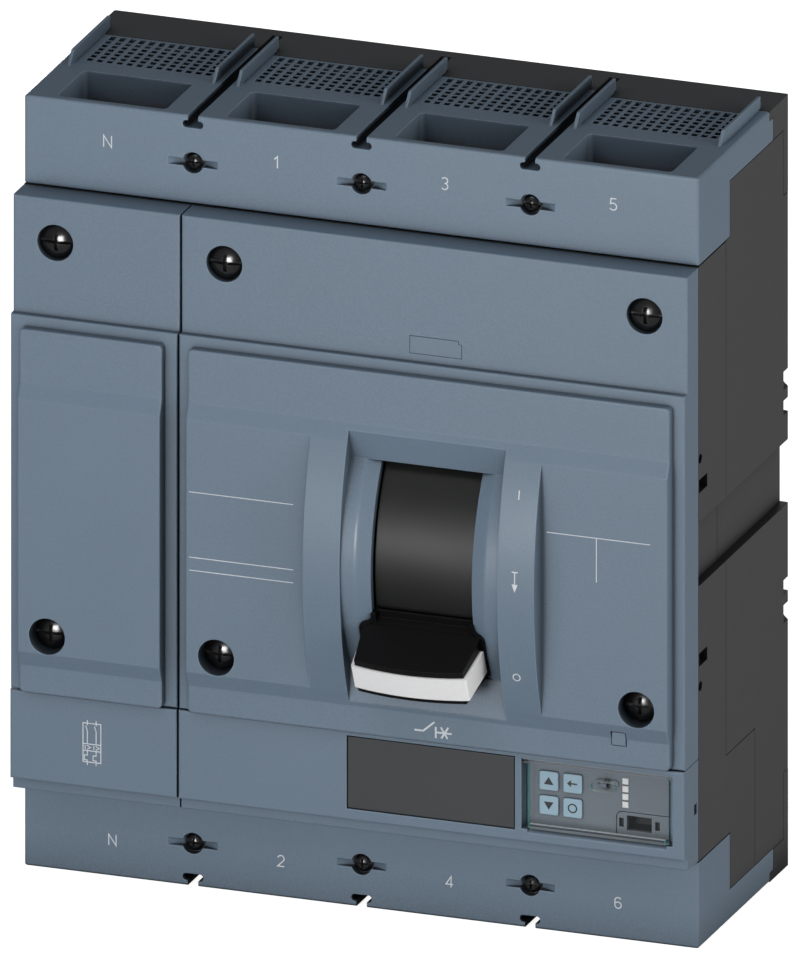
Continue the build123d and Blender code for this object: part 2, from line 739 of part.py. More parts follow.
def screw_seat(cover, x, z, face_y, seat_y):
    """A boss behind the cover and the counterbored hole of one cover screw."""
    cover += rod_y(x, z, SCREW_HEAD_R + SCREW_HEAD_FIT + 2, face_y + 1, FRONT - SEAM)
    cover -= rod_y(x, z, SCREW_HEAD_R + SCREW_HEAD_FIT, face_y - 2, seat_y)
    cover -= rod_y(x, z, SCREW_SHANK_R + SHANK_FIT, face_y, FRONT + 1)
    return cover


def make_neutral_cover():
    """Front cover of the neutral pole."""
    x0, x1 = LEFT, COVER_SPLIT_X - COVER_SPLIT_W / 2
    cover = cover_shell(x0, x1) + raised_panel(x0 + PANEL_INSET, x1 - PANEL_INSET)
    rear = FRONT + 1
    cover -= block(
        x0 + WALL, x1 - WALL, COVER_UPPER_Y + WALL, rear, FRAME_STEP_Z + 1, COVER_TOP_Z - WALL
    )
    cover -= block(
        x0 + PANEL_INSET + WALL, x1 - PANEL_INSET - WALL,
        PANEL_Y + WALL, rear, PLATEAU_LOW_Z + 1, PLATEAU_TOP_Z - 1,
    )
    cover -= block(
        x0 + WALL, x1 - WALL, COVER_FRAME_Y + WALL, rear, PLATEAU_LOW_Z, FRAME_STEP_Z - 2
    )
    cover = screw_seat(cover, SCREW_XS[0], SCREW_ZS[0], COVER_UPPER_Y, SCREW_UPPER_SEAT_Y)
    return screw_seat(cover, SCREW_XS[0], SCREW_ZS[1], PANEL_Y, SCREW_LOWER_SEAT_Y)


def wings():
    """Arched shoulders on both sides of the handle window."""
    mid_z = (PLATEAU_TOP_Z + PLATEAU_LOW_Z) / 2
    arc = ThreePointArc((PANEL_Y, PLATEAU_LOW_Z), (WING_Y, mid_z), (PANEL_Y, PLATEAU_TOP_Z))
    back = Polyline(
        (PANEL_Y, PLATEAU_TOP_Z),
        (PANEL_LOW_Y, PANEL_RISE_Z),
        (COVER_FRAME_Y, PANEL_RISE_Z),
        (COVER_FRAME_Y, PANEL_FALL_Z),
        (PANEL_LOW_Y, PANEL_FALL_Z),
        (PANEL_Y, PLATEAU_LOW_Z),
    )
    return side_face(make_face([arc, back]), HANDLE_X - WING_HALF, HANDLE_X + WING_HALF)


def handle_window():
    """Space cut out of the wings: sloping ends and an arched floor."""
    floor = ThreePointArc(cheek(CHEEK_TOP_Z), cheek(PIVOT_Z), cheek(CHEEK_LOW_Z))
    rest = Polyline(
        cheek(CHEEK_LOW_Z),
        (PANEL_LOW_Y - 0.7, WINDOW_LOW_Z),
        (WING_Y - 8, WINDOW_LOW_Z - 4),
        (WING_Y - 8, WINDOW_TOP_Z + 34),
        (PANEL_LOW_Y - 1.1, WINDOW_TOP_Z),
        cheek(CHEEK_TOP_Z),
    )
    return side_face(make_face([floor, rest]), HANDLE_X - WINDOW_HALF, HANDLE_X + WINDOW_HALF)


def cheek(z):
    """(y, z) on the arched floor of the window."""
    return PIVOT_Y - math.sqrt(CHEEK_R**2 - (z - PIVOT_Z) ** 2), z


def slope_r(half):
    """Radius of the window's floor where it slopes down to the slot, at a half width."""
    return CHEEK_R - SLOT_EDGE_DROP * (CHEEK_EDGE_HALF - half) / (CHEEK_EDGE_HALF - SLOT_HALF)


def ridge():
    """Start, middle and end of the rounded ridge between the floor and its slope."""
    turn = math.atan2(SLOT_EDGE_DROP, CHEEK_EDGE_HALF - SLOT_HALF)
    start = CHEEK_EDGE_HALF + RIDGE_R * math.tan(turn / 2)
    return [
        (start - RIDGE_R * math.sin(a), CHEEK_R - RIDGE_R * (1 - math.cos(a)))
        for a in (0, turn / 2, turn)
    ]


def cheek_bevel():
    """The floor falls away towards the slot: a ring with a sloping underside."""
    low = CHEEK_R - SLOT_EDGE_DROP
    start, mid, end = ridge()
    top = CHEEK_R + 3
    right = [
        Line((SLOT_HALF, low), end),
        ThreePointArc(end, mid, start),
        Line(start, (start[0], top)),
    ]
    left = [
        Line((-SLOT_HALF, low), (-end[0], end[1])),
        ThreePointArc((-end[0], end[1]), (-mid[0], mid[1]), (-start[0], start[1])),
        Line((-start[0], start[1]), (-start[0], top)),
    ]
    across = [
        Line((-SLOT_HALF, low), (SLOT_HALF, low)),
        Line((start[0], top), (-start[0], top)),
    ]
    ring = revolve(Plane.XY * make_face(right + left + across), Axis.X, 360)
    ring = Pos(HANDLE_X, PIVOT_Y, PIVOT_Z) * ring
    return ring & block(LEFT, RIGHT, WING_Y - 9, FRONT, CHEEK_LOW_Z, CHEEK_TOP_Z)


def make_main_cover():
    """Front cover of the three phases, with the handle window."""
    x0, x1 = COVER_SPLIT_X + COVER_SPLIT_W / 2, RIGHT
    px0, px1 = x0 + PANEL_INSET, x1 - PANEL_INSET
    rear = FRONT + 1
    cover = cover_shell(x0, x1) + raised_panel(px0, px1) + wings()
    cover -= block(
        x0 + WALL, x1 - WALL, COVER_UPPER_Y + WALL, rear, FRAME_STEP_Z + 1, COVER_TOP_Z - WALL
    )
    cover -= block(
        x0 + WALL, x1 - WALL,
        COVER_FRAME_Y + WALL, rear, PANEL_RISE_Z, FRAME_STEP_Z - 2,
    )
    for a, b in (
        (px0 + WALL, HANDLE_X - WING_HALF - WALL),
        (HANDLE_X + WING_HALF + WALL, px1 - WALL),
    ):
        cover -= block(a, b, PANEL_Y + WALL, rear, PLATEAU_LOW_Z + 1, PLATEAU_TOP_Z - 1)
    # vault that the shutter and the lever swing in
    half = WING_HALF - WALL
    cover -= rod_x(PIVOT_Y, PIVOT_Z, VAULT_R, HANDLE_X - half, HANDLE_X + half)
    cover -= handle_window()
    cover -= cheek_bevel()
    cover -= block(
        HANDLE_X - SLOT_HALF, HANDLE_X + SLOT_HALF, WING_Y - 9, rear, CHEEK_LOW_Z, CHEEK_TOP_Z
    )
    for x in SCREW_XS[1:]:
        cover = screw_seat(cover, x, SCREW_ZS[0], COVER_UPPER_Y, SCREW_UPPER_SEAT_Y)
        cover = screw_seat(cover, x, SCREW_ZS[1], PANEL_Y, SCREW_LOWER_SEAT_Y)
    # push-to-trip button and its pocket
    cover -= block(
        BUTTON_X - BUTTON_W / 2 - BUTTON_FIT, BUTTON_X + BUTTON_W / 2 + BUTTON_FIT,
        PANEL_Y - 1, rear,
        BUTTON_Z - BUTTON_H / 2 - BUTTON_FIT, BUTTON_Z + BUTTON_H / 2 + BUTTON_FIT,
    )
    cover -= block(BUTTON_X - 6.5, BUTTON_X + 6.5, -117, rear, BUTTON_Z - 6, BUTTON_Z + 6)
    # recess of the accessory tab
    for a, b, c, d in accessory_tab_boxes(0):
        cover -= block(a, b, COVER_UPPER_Y - 1, COVER_UPPER_Y + 1.2, c, d)
    return cover


def accessory_tab_boxes(gap):
    """(x0, x1, z0, z1) of the tab and of its latch."""
    return [
        (24.6 + gap, 45.1 - gap, 77.6 + gap, 85.0 - gap),
        (45.1 - gap, 46.4 - gap, 77.6 + gap, 83.6 - gap),
    ]


def make_accessory_tab():
    """Small blanking tab over an accessory's window."""
    boxes = accessory_tab_boxes(0.2)
    tab = None
    for a, b, c, d in boxes:
        piece = block(a, b, COVER_UPPER_Y, COVER_UPPER_Y + 1.2, c, d)
        tab = piece if tab is None else tab + piece
    return tab


def lower_shell(x0, x1):
    """Blank of a cover below the raised panels."""
    blank = block(x0, x1, TRIP_FRONT_Y, FRONT - SEAM, TRIP_FOOT_Z, TRIP_SEAM_Z - SEAM)
    blank = fillet(edges_near(blank, Y=TRIP_FRONT_Y), EDGE_R)
    foot = block(x0, x1, COVER_UPPER_Y, FRONT - SEAM, COVER_FOOT_Z, TRIP_FOOT_Z + 1)
    foot = fillet(edges_near(foot, Y=COVER_UPPER_Y, Z=COVER_FOOT_Z), EDGE_R)
    return blank + foot


def make_neutral_lower_cover():
    """Lower cover of the neutral pole."""
    x0, x1 = LEFT, COVER_SPLIT_X - COVER_SPLIT_W / 2
    cover = lower_shell(x0, x1)
    return cover - block(
        x0 + WALL, x1 - WALL,
        TRIP_FRONT_Y + WALL, FRONT + 1,
        TRIP_FOOT_Z + 2, TRIP_SEAM_Z - WALL,
    )


def make_trip_unit_cover():
    """Front of the electronic trip unit, with its display and keypad recess."""
    x0, x1 = COVER_SPLIT_X + COVER_SPLIT_W / 2, RIGHT
    cover = lower_shell(x0, x1)
    rear = FRONT + 1
    cover -= block(
        x0 + WALL, DISPLAY_X0 - WALL, TRIP_FRONT_Y + WALL, rear, TRIP_FOOT_Z + 2, TRIP_SEAM_Z - WALL
    )
    cover -= block(
        DISPLAY_X0 - FLUSH_FIT, DISPLAY_X1 + FLUSH_FIT,
        TRIP_FRONT_Y - 1, TRIP_FRONT_Y + DISPLAY_T,
        DISPLAY_Z0 - FLUSH_FIT, DISPLAY_Z1 + FLUSH_FIT,
    )
    cover -= block(
        DISPLAY_X0 + 1.5, DISPLAY_X1 - 1.5,
        TRIP_FRONT_Y - 1, rear,
        DISPLAY_Z0 + 1.5, DISPLAY_Z1 - 1.5,
    )
    # keypad recess, a seat for the keypad panel and a smaller opening behind it
    seat_x1 = KEYPAD_X1 - KEYPAD_LEDGE
    cover -= block(KEYPAD_X0, KEYPAD_X1, TRIP_FRONT_Y - 1, KEYPAD_Y, KEYPAD_Z0, KEYPAD_Z1)
    cover -= block(KEYPAD_X0, seat_x1, KEYPAD_Y - 1, KEYPAD_Y + KEYPAD_T, KEYPAD_Z0, KEYPAD_Z1)
    cover -= block(
        KEYPAD_X0 + 2.5, seat_x1 - 1.5, TRIP_FRONT_Y - 1, rear, KEYPAD_Z0 + 1, KEYPAD_Z1 - 2
    )
    # finger notch under the flap
    notch = side_profile(
        [
            (TRIP_FRONT_Y - 1, KEYPAD_Z0 + 1),
            (TRIP_FRONT_Y - 1, KEYPAD_Z0 - 2.6),
            (TRIP_FRONT_Y + 2.6, KEYPAD_Z0 + 1),
        ],
        FLAP_X0 + 0.2, FLAP_X1 - 0.9,
    )
    cover -= notch
    # bearings of the flap's pins
    cover -= rod_x(
        FLAP_AXIS_Y, FLAP_AXIS_Z, FLAP_PIN_R + RUN_FIT, KEYPAD_X0 - 2.2, KEYPAD_X1 + 2.2
    )
    # clip slot in the flank
    cover -= block(RIGHT - 3.2, RIGHT + 1, -108, -105, BOTTOM + 57, BOTTOM + 61.5)
    return cover


# =================================================================== trip unit
def make_display_window():
    """Dark glossy window over the display."""
    pane = block(
        DISPLAY_X0, DISPLAY_X1, TRIP_FRONT_Y + 0.1, TRIP_FRONT_Y + DISPLAY_T,
        DISPLAY_Z0, DISPLAY_Z1,
    )
    return fillet(edges_near(pane, Y=TRIP_FRONT_Y + 0.1), 0.3)


def key_places():
    """Name and centre of each key."""
    names = (("key_up", "key_back"), ("key_down", "key_enter"))
    return {
        name: (KEY_COLUMNS[i], KEY_ROWS[j])
        for j, row in enumerate(names)
        for i, name in enumerate(row)
    }


def make_keypad_panel():
    """Plate behind the flap, pierced for the keys, the lamps and the test port."""
    y0, y1 = KEYPAD_Y, KEYPAD_Y + KEYPAD_T
    x1 = KEYPAD_X1 - KEYPAD_LEDGE - 0.2
    panel = block(KEYPAD_X0 + 0.2, x1, y0, y1, KEYPAD_Z0 + 0.2, KEYPAD_Z1 - 0.2)
    for x, z in key_places().values():
        half_w, half_h = KEY_W / 2 + KEY_FIT, KEY_H / 2 + KEY_FIT
        panel -= rounded_front(
            x - half_w, x + half_w, z - half_h, z + half_h, 1.0, y0 - 1, y1 + 1
        )
    for i in range(LAMP_COUNT):
        z = LAMP_Z0 - i * LAMP_PITCH
        half = LAMP_W / 2 + 0.05
        panel -= block(LAMP_X - half, LAMP_X + half, y0 - 1, y1 + 1, z - half, z + half)
    return panel - port_outline(PORT_FRAME_FIT, y0 - 1, y1 + 1)


def port_outline(gap, y0, y1):
    """Outline of the test port's frame in the panel's corner, grown by a gap."""
    r = PORT_FRAME_R + gap
    x0, z1 = PORT_FRAME_X0 - gap, PORT_FRAME_Z1 + gap
    x1, z0 = KEYPAD_X1 - KEYPAD_LEDGE - 0.2 + gap, KEYPAD_Z0 + 0.2 - gap
    outline = rounded_front(x0, x1 + 2 * r, z0 - 2 * r, z1, r, y0, y1)
    return outline & block(x0 - 1, x1, y0, y1, z0, z1 + 1)


def make_key(name):
    """One key: a rounded cap with a flange behind the keypad panel."""
    x, z = key_places()[name]
    half_w, half_h = KEY_W / 2, KEY_H / 2
    cap = rounded_front(
        x - half_w, x + half_w, z - half_h, z + half_h, 0.9,
        KEYPAD_Y - KEY_PROUD, KEYPAD_Y + KEYPAD_T + 0.4,
    )
    cap = fillet(edges_near(cap, Y=KEYPAD_Y - KEY_PROUD), 0.35)
    flange = block(
        x - half_w - 0.7, x + half_w + 0.7,
        KEYPAD_Y + KEYPAD_T + 0.2, KEYPAD_Y + KEYPAD_T + 1.2,
        z - half_h - 0.7, z + half_h + 0.7,
    )
    return cap + flange


def make_lamps():
    """Light guides of the status lamps."""
    half = LAMP_W / 2
    guides = []
    for i in range(LAMP_COUNT):
        z = LAMP_Z0 - i * LAMP_PITCH
        guides.append(
            block(
                LAMP_X - half, LAMP_X + half,
                KEYPAD_Y - 0.2, KEYPAD_Y + KEYPAD_T + 3, z - half, z + half,
            )
        )
    return group(guides)


def make_test_port():
    """Frame of the test port, set in the corner of the keypad panel, with two keyways."""
    y1 = KEYPAD_Y + KEYPAD_T
    frame = port_outline(0, KEYPAD_Y, y1)
    frame -= block(PORT_X0, PORT_X1, KEYPAD_Y - 1, y1 + 1, PORT_Z0, PORT_Z1)
    mid = (PORT_Z0 + PORT_Z1) / 2
    for x in KEYWAY_XS:
        frame -= block(
            x - KEYWAY_W / 2, x + KEYWAY_W / 2,
            KEYPAD_Y - 1, y1 + 1,
            mid - KEYWAY_H / 2, mid + KEYWAY_H / 2,
        )
    return frame


def make_test_connector():
    """Black connector behind the frame of the test port, with its contact tongue."""
    y0, y1 = KEYPAD_Y + KEYPAD_T, KEYPAD_Y + PORT_D
    t = PORT_SHELL
    shell = block(
        PORT_X0 - t, PORT_X1 + t, y0 + 0.02, y1 + t, PORT_Z0 - t + 0.2, PORT_Z1 + t
    )
    mid = (PORT_Z0 + PORT_Z1) / 2
    # flange that closes the keyways from behind
    shell += block(
        KEYWAY_XS[0] - KEYWAY_W, KEYWAY_XS[1] + KEYWAY_W, y0 + 0.02, y0 + 1,
        mid - KEYWAY_H / 2 - 0.4, mid + KEYWAY_H / 2 + 0.4,
    )
    shell -= block(PORT_X0, PORT_X1, y0 - 1, y1, PORT_Z0, PORT_Z1)
    mid += 0.8
    return shell + block(PORT_X0 + 3.2, PORT_X1, y1 - 3, y1 + 0.5, mid - 0.6, mid + 0.6)


def make_sealing_lug():
    """Eyelet through which a seal wire locks the settings, on an oval foot."""
    x, z, r = LUG_X, LUG_Z, LUG_R
    y = KEYPAD_Y - r - 0.02
    lug = rod_x(y, z, r, x - 0.7, x + 0.7)
    lug += block(x - 0.7, x + 0.7, y, KEYPAD_Y - 0.02, z - r, z + r)
    lug -= rod_x(y - 0.2, z, r * 0.5, x - 2, x + 2)
    w, h = LUG_FOOT_W / 2, LUG_FOOT_H / 2
    foot = rounded_front(x - w, x + w, z - h, z + h, h - 0.1, KEYPAD_Y - 0.5, KEYPAD_Y - 0.02)
    for side in (-1, 1):
        foot -= rod_y(x + side * (w - h), z, h * 0.45, KEYPAD_Y - 1, KEYPAD_Y + 1)
    return lug + foot


def make_flap():
    """Clear flap over the keypad, hinged at its upper edge, with a grip at its foot."""
    x0, x1 = FLAP_X0, FLAP_X1
    y0 = TRIP_FRONT_Y + 0.8
    z0, z1 = KEYPAD_Z0 + FLAP_FIT, FLAP_AXIS_Z
    pane = block(x0, x1, y0, y0 + FLAP_T, z0, z1)
    lip = block(x0 + 1.2, x1 - 1.2, y0 - 1.3, y0 + 0.5, z0, z0 + 2.2)
    lip = fillet(edges_near(lip, Y=y0 - 1.3), 0.6)
    pane += lip
    pane += rod_x(FLAP_AXIS_Y, FLAP_AXIS_Z, FLAP_PIN_R, KEYPAD_X0 - 2, KEYPAD_X1 + 2)
    # slot in front of the sealing lug
    w, h = LUG_FOOT_W / 2 + FLAP_SLOT_FIT, LUG_FOOT_H / 2 + FLAP_SLOT_FIT
    return pane - rounded_front(
        LUG_X - w, LUG_X + w, LUG_Z - h, LUG_Z + h, h - 0.1, y0 - 1, y0 + FLAP_T + 1
    )


def make_trip_unit_case():
    """Box that holds the electronics, in its bay behind the trip unit's cover."""
    x0, x1 = BOUNDARIES[0] + 6.5, RIGHT - 6.5
    y0, y1 = -101.5, TRIP_BAY_REAR_Y - 0.3
    z0, z1 = BOTTOM + 42.3, FRONT_BAY_LOW_Z - 1.5
    box = block(x0, x1, y0, y1, z0, z1)
    return box - block(x0 + 2, x1 - 2, y0 - 1, y1 - 2, z0 + 2, z1 - 2)


def make_circuit_board():
    """Board of the trip unit, with its larger components."""
    x0, x1 = BOUNDARIES[0] + 9, RIGHT - 9
    z0, z1 = BOTTOM + 44.6, FRONT_BAY_LOW_Z - 3.8
    board = block(x0, x1, -96, -94.4, z0, z1)
    for x, w, t in ((-40, 16, 2.5), (0, 22, 3), (40, 12, 4), (80, 18, 3), (110, 10, 5)):
        board += block(x - w / 2, x + w / 2, -94.5, -94.4 + t, z0 + 6, z0 + 6 + w * 0.8)
    # posts against the case's rear wall
    for x in (x0 + 8, 20, x1 - 8):
        board += rod_y(x, z0 + 3, 2, -95, TRIP_BAY_REAR_Y - 2.35)
    return board


# ====================================================================== handle
def lever_frame(shape):
    """Places a shape drawn about the handle's axis, lever straight out, at off."""
    return Pos(HANDLE_X, PIVOT_Y, PIVOT_Z) * Rot(X=HANDLE_OFF) * shape


def wedge(half_w0, half_w1, half_t0, half_t1, r0, r1, bow):
    """A tapering block along -Y from r0 to r1, with a bowed outer end."""
    outline = [
        Line((-half_w0, -r0), (half_w0, -r0)),
        Line((half_w0, -r0), (half_w1, -r1)),
        ThreePointArc((half_w1, -r1), (0, -r1 - bow), (-half_w1, -r1)),
        Line((-half_w1, -r1), (-half_w0, -r0)),
    ]
    tall = 3 * max(half_t0, half_t1)
    plan = Pos(0, 0, -tall) * extrude(make_face(outline), 2 * tall, dir=(0, 0, 1))
    slope = (half_t1 - half_t0) / (r1 - r0)
    far, near = r1 + 10, r0 - 10
    sides = [
        (-near, half_t0 - 10 * slope),
        (-far, half_t1 + 10 * slope),
        (-far, -half_t1 - 10 * slope),
        (-near, -half_t0 + 10 * slope),
    ]
    return plan & side_profile(sides, -60, 60)


def cap_band(extra):
    """Slab between the lever's black top and bottom bands."""
    top, low = LEVER_TIP_HALF_T - CAP_TOP_BAND, -LEVER_TIP_HALF_T + CAP_LOW_BAND
    return block(-60, 60, -120, -LEVER_ROOT_R, low - extra, top + extra)


def beside_slot():
    """What the lever must clear: both sides of the window's floor, with a gap over them."""
    rings = None
    for s in (-1, 1):
        section = Polyline(
            (s * NECK_HALF, SHUTTER_R - 5),
            (s * NECK_HALF, slope_r(SLOT_HALF) + SKIRT_GAP),
            (s * SLOT_HALF, slope_r(SLOT_HALF) + SKIRT_GAP),
            (s * CHEEK_EDGE_HALF, CHEEK_R + SKIRT_GAP),
            (s * 40, CHEEK_R + SKIRT_GAP),
            (s * 40, SHUTTER_R - 5),
            close=True,
        )
        ring = revolve(Plane.XY * make_face(section), Axis.X, 360)
        rings = ring if rings is None else rings + ring
    return rings


def lever_skirt():
    """Thin skirt on the window's floor: two rounded ears, and a neck down to the shutter."""
    bend_x = SKIRT_HALF - SKIRT_EAR_R
    neck_x = SLOT_HALF + 0.3
    r, e = bend_x - neck_x, SKIRT_EAR_R
    sin45 = math.sqrt(0.5)
    hollow = (bend_x - r * sin45, SKIRT_TOP + r * (1 - sin45))
    crest = (bend_x + e * sin45, SKIRT_TOP - e * (1 - sin45))
    ear = make_face(
        [
            Polyline(
                (SKIRT_HALF, SKIRT_TOP - e),
                (SKIRT_HALF, -SKIRT_LOW),
                (NECK_HALF - 1, -SKIRT_LOW),
                (NECK_HALF - 1, SKIRT_NECK),
                (neck_x, SKIRT_NECK),
                (neck_x, SKIRT_TOP + r),
            ),
            ThreePointArc((neck_x, SKIRT_TOP + r), hollow, (bend_x, SKIRT_TOP)),
            ThreePointArc((bend_x, SKIRT_TOP), crest, (SKIRT_HALF, SKIRT_TOP - e)),
        ]
    )
    ear = front_face(ear, -CHEEK_R - 2, -CHEEK_R + 8)
    ears = ear + ear.mirror(Plane.YZ)
    top = SKIRT_GAP + SKIRT_T
    inner, outer = slope_r(NECK_HALF - 2) + top, slope_r(SKIRT_HALF) + top
    bounds = Polyline(
        (-SKIRT_HALF, 60),
        (-SKIRT_HALF, outer),
        (2 - NECK_HALF, inner),
        (NECK_HALF - 2, inner),
        (SKIRT_HALF, outer),
        (SKIRT_HALF, 60),
        close=True,
    )
    ears &= revolve(Plane.XY * make_face(bounds), Axis.X, 360)
    front = -slope_r(NECK_HALF) - top
    thin = -NECK_REAR_R - NECK_T
    neck = side_profile(
        [
            (front, LEVER_ROOT_HALF_T),
            (thin, LEVER_ROOT_HALF_T + 0.7),
            (thin, SKIRT_NECK),
            (-NECK_REAR_R, SKIRT_NECK),
            (-NECK_REAR_R, -SKIRT_LOW),
            (front, -SKIRT_LOW),
        ],
        -NECK_HALF, NECK_HALF,
    )
    return ears + neck


def make_toggle_lever():
    """Black lever: a wedge outside the window, a skirt on its floor and a stem inside."""
    slope = (LEVER_ROOT_HALF_T - LEVER_TIP_HALF_T) / (LEVER_TIP_R - LEVER_ROOT_R)
    spread = (LEVER_ROOT_HALF_W - LEVER_TIP_HALF_W) / (LEVER_TIP_R - LEVER_ROOT_R)
    knob = wedge(
        LEVER_ROOT_HALF_W + spread * LEVER_SINK, LEVER_TIP_HALF_W,
        LEVER_ROOT_HALF_T + slope * LEVER_SINK, LEVER_TIP_HALF_T,
        LEVER_ROOT_R - LEVER_SINK, LEVER_TIP_R, LEVER_BOW,
    )
    core = wedge(
        LEVER_ROOT_HALF_W - CAP_T, LEVER_TIP_HALF_W - CAP_T,
        LEVER_ROOT_HALF_T, LEVER_TIP_HALF_T,
        LEVER_ROOT_R, LEVER_TIP_R - CAP_T, LEVER_BOW,
    )
    knob -= cap_band(0) - core
    lip = wedge(
        LEVER_ROOT_HALF_W, LEVER_TIP_HALF_W, LEVER_ROOT_HALF_T, LEVER_TIP_HALF_T,
        LEVER_ROOT_R, LEVER_TIP_R + CAP_PROUD, LEVER_BOW,
    )
    knob += lip & block(-60, 60, -120, -LEVER_ROOT_R, -60, CAP_LOW_BAND - LEVER_TIP_HALF_T)
    stem = block(
        -STEM_HALF_W, STEM_HALF_W, -CHEEK_R, -YOKE_R1, -STEM_HALF_T, STEM_HALF_T
    )
    over_shutter = rod_x(0, 0, NECK_REAR_R, -NECK_HALF - 0.5, NECK_HALF + 0.5)
    return lever_frame((knob + lever_skirt()) - beside_slot() - over_shutter + stem)


def make_toggle_cap():
    """White rating cap wrapped round the tip and the sides of the lever."""
    outer = wedge(
        LEVER_ROOT_HALF_W + CAP_SIDE_PROUD, LEVER_TIP_HALF_W + CAP_SIDE_PROUD,
        LEVER_ROOT_HALF_T, LEVER_TIP_HALF_T,
        LEVER_ROOT_R + 0.1, LEVER_TIP_R + CAP_PROUD, LEVER_BOW,
    )
    core = wedge(
        LEVER_ROOT_HALF_W - CAP_T + 0.05, LEVER_TIP_HALF_W - CAP_T + 0.05,
        LEVER_ROOT_HALF_T + 5, LEVER_TIP_HALF_T + 5,
        LEVER_ROOT_R - 0.5, LEVER_TIP_R - CAP_T + 0.05, LEVER_BOW,
    )
    blank = outer & cap_band(-0.05)
    uprights = [
        e for e in blank.edges().filter_by(Axis.Z, tolerance=8)
        if e.center().Y < -LEVER_TIP_R + 2
    ]
    blank = fillet(uprights, CAP_CORNER_R)
    return lever_frame(blank - core)


def make_shutter():
    """Curved black strip that closes the slot behind the lever."""
    x0, x1 = HANDLE_X - SHUTTER_HALF, HANDLE_X + SHUTTER_HALF
    strip = sector(
        SHUTTER_R - SHUTTER_T, SHUTTER_R,
        -HANDLE_OFF - SHUTTER_DOWN, -HANDLE_OFF + SHUTTER_UP, x0, x1,
    )
    hole = block(
        -STEM_HALF_W - 0.1, STEM_HALF_W + 0.1,
        -SHUTTER_R - 3, -SHUTTER_R + SHUTTER_T + 3,
        -STEM_HALF_T - 0.1, STEM_HALF_T + 0.1,
    )
    return strip - lever_frame(hole)


def make_yoke():
    """Steel yoke that the lever is fixed to, hung on the two pivot pins."""
    bridge = block(-YOKE_HALF, YOKE_HALF, -YOKE_R1, -YOKE_R0, -8, 8)
    yoke = bridge
    for s in (-1, 1):
        x0, x1 = sorted((s * YOKE_HALF, s * (YOKE_HALF - YOKE_T)))
        yoke += block(x0, x1, -YOKE_R1, 0, -8, 8)
        yoke += rod_x(0, 0, 8, x0, x1)
        yoke -= rod_x(0, 0, PIVOT_PIN_R + RUN_FIT, x0 - 1, x1 + 1)
    return lever_frame(yoke)


def make_drive_springs():
    """Two closed-wound springs inside the yoke, that snap the mechanism over centre."""
    springs = []
    for s in (-1, 1):
        coil_r, wire_r, turns = 3.6, 0.8, 14
        pitch = 2 * wire_r
        start = YOKE_R0 - 0.3 - turns * pitch
        rings = [Pos(0, 0, (i + 0.5) * pitch) * Torus(coil_r, wire_r * 1.04) for i in range(turns)]
        coil = rings[0]
        for ring in rings[1:]:
            coil += ring
        springs.append(lever_frame(Pos(s * 15.4, -start, 0) * Rot(X=90) * coil))
    return group(springs)


def make_side_plates():
    """Two steel plates that carry the pivot pins, the trip bar and the latch pin."""
    outline = [
        (-101, -58), (-101, -40), (-66, 2), (-58, 24), (-20, 24), (-20, -20), (-57, -34), (-62, -58),
    ]
    plates = []
    for s in (-1, 1):
        face = HANDLE_X + s * (CHAMBER_HALF - 0.3)
        x0, x1 = sorted((face, face - s * PLATE_T))
        plate = side_profile(outline, x0, x1)
        plate -= rod_x(SHAFT_Y, SHAFT_Z, COLLAR_R + 1.5, x0 - 1, x1 + 1)
        plate -= rod_x(PIVOT_Y, PIVOT_Z, PIVOT_PIN_R, x0 - 1, x1 + 1)
        plate -= rod_x(TRIP_BAR_Y, TRIP_BAR_Z, TRIP_BAR_R + RUN_FIT, x0 - 1, x1 + 1)
        plate -= rod_x(LATCH_Y, LATCH_Z, LATCH_R, x0 - 1, x1 + 1)
        plates.append(plate)
    return group(plates)


def make_pivot_pins():
    """Two stub pins that the yoke swings on."""
    pins = []
    for s in (-1, 1):
        outer = HANDLE_X + s * (CHAMBER_HALF - 0.3)
        inner = HANDLE_X + s * (YOKE_HALF - YOKE_T - 1)
        x0, x1 = sorted((outer, inner))
        pins.append(rod_x(PIVOT_Y, PIVOT_Z, PIVOT_PIN_R, x0, x1))
    return group(pins)


# ==================================================================== contacts
def make_crossbar():
    """Moulded shaft that carries the contact arms of all the poles."""
    bar = rod_x(SHAFT_Y, SHAFT_Z, SHAFT_R, LEFT + 9, RIGHT - 9)
    for x in POLES:
        for s in (-1, 1):
            x0, x1 = sorted((x + s * (ARM_HALF_W + 0.1), x + s * (ARM_HALF_W + 6)))
            bar += rod_x(SHAFT_Y, SHAFT_Z, COLLAR_R, x0, x1)
    return bar


def open_pose(shape):
    """Turns a shape modelled with the contacts closed to the open position."""
    return turned(shape, SHAFT_Y, SHAFT_Z, ARM_OPEN)


def make_contact_arms():
    """Copper arms with a collar round the shaft."""
    arms = []
    for x in POLES:
        x0, x1 = x - ARM_HALF_W, x + ARM_HALF_W
        arm = block(x0, x1, ARM_FACE_Y - ARM_T, ARM_FACE_Y, SHAFT_Z, ARM_TOP_Z)
        arm += rod_x(SHAFT_Y, SHAFT_Z, COLLAR_R, x0, x1)
        arm -= rod_x(SHAFT_Y, SHAFT_Z, SHAFT_R + 0.02, x0 - 1, x1 + 1)
        arms.append(open_pose(arm))
    return group(arms)


def make_moving_tips():
    """Silver contact tips on the arms."""
    tips = []
    for x in POLES:
        tip = block(
            x - ARM_HALF_W + 1, x + ARM_HALF_W - 1,
            ARM_FACE_Y, ARM_FACE_Y + TIP_T, ARM_TOP_Z - TIP_H, ARM_TOP_Z - 1,
        )
        tips.append(open_pose(tip))
    return group(tips)


def fixed_face_y():
    """Front face of the fixed tips."""
    return ARM_FACE_Y + TIP_T + CONTACT_GAP


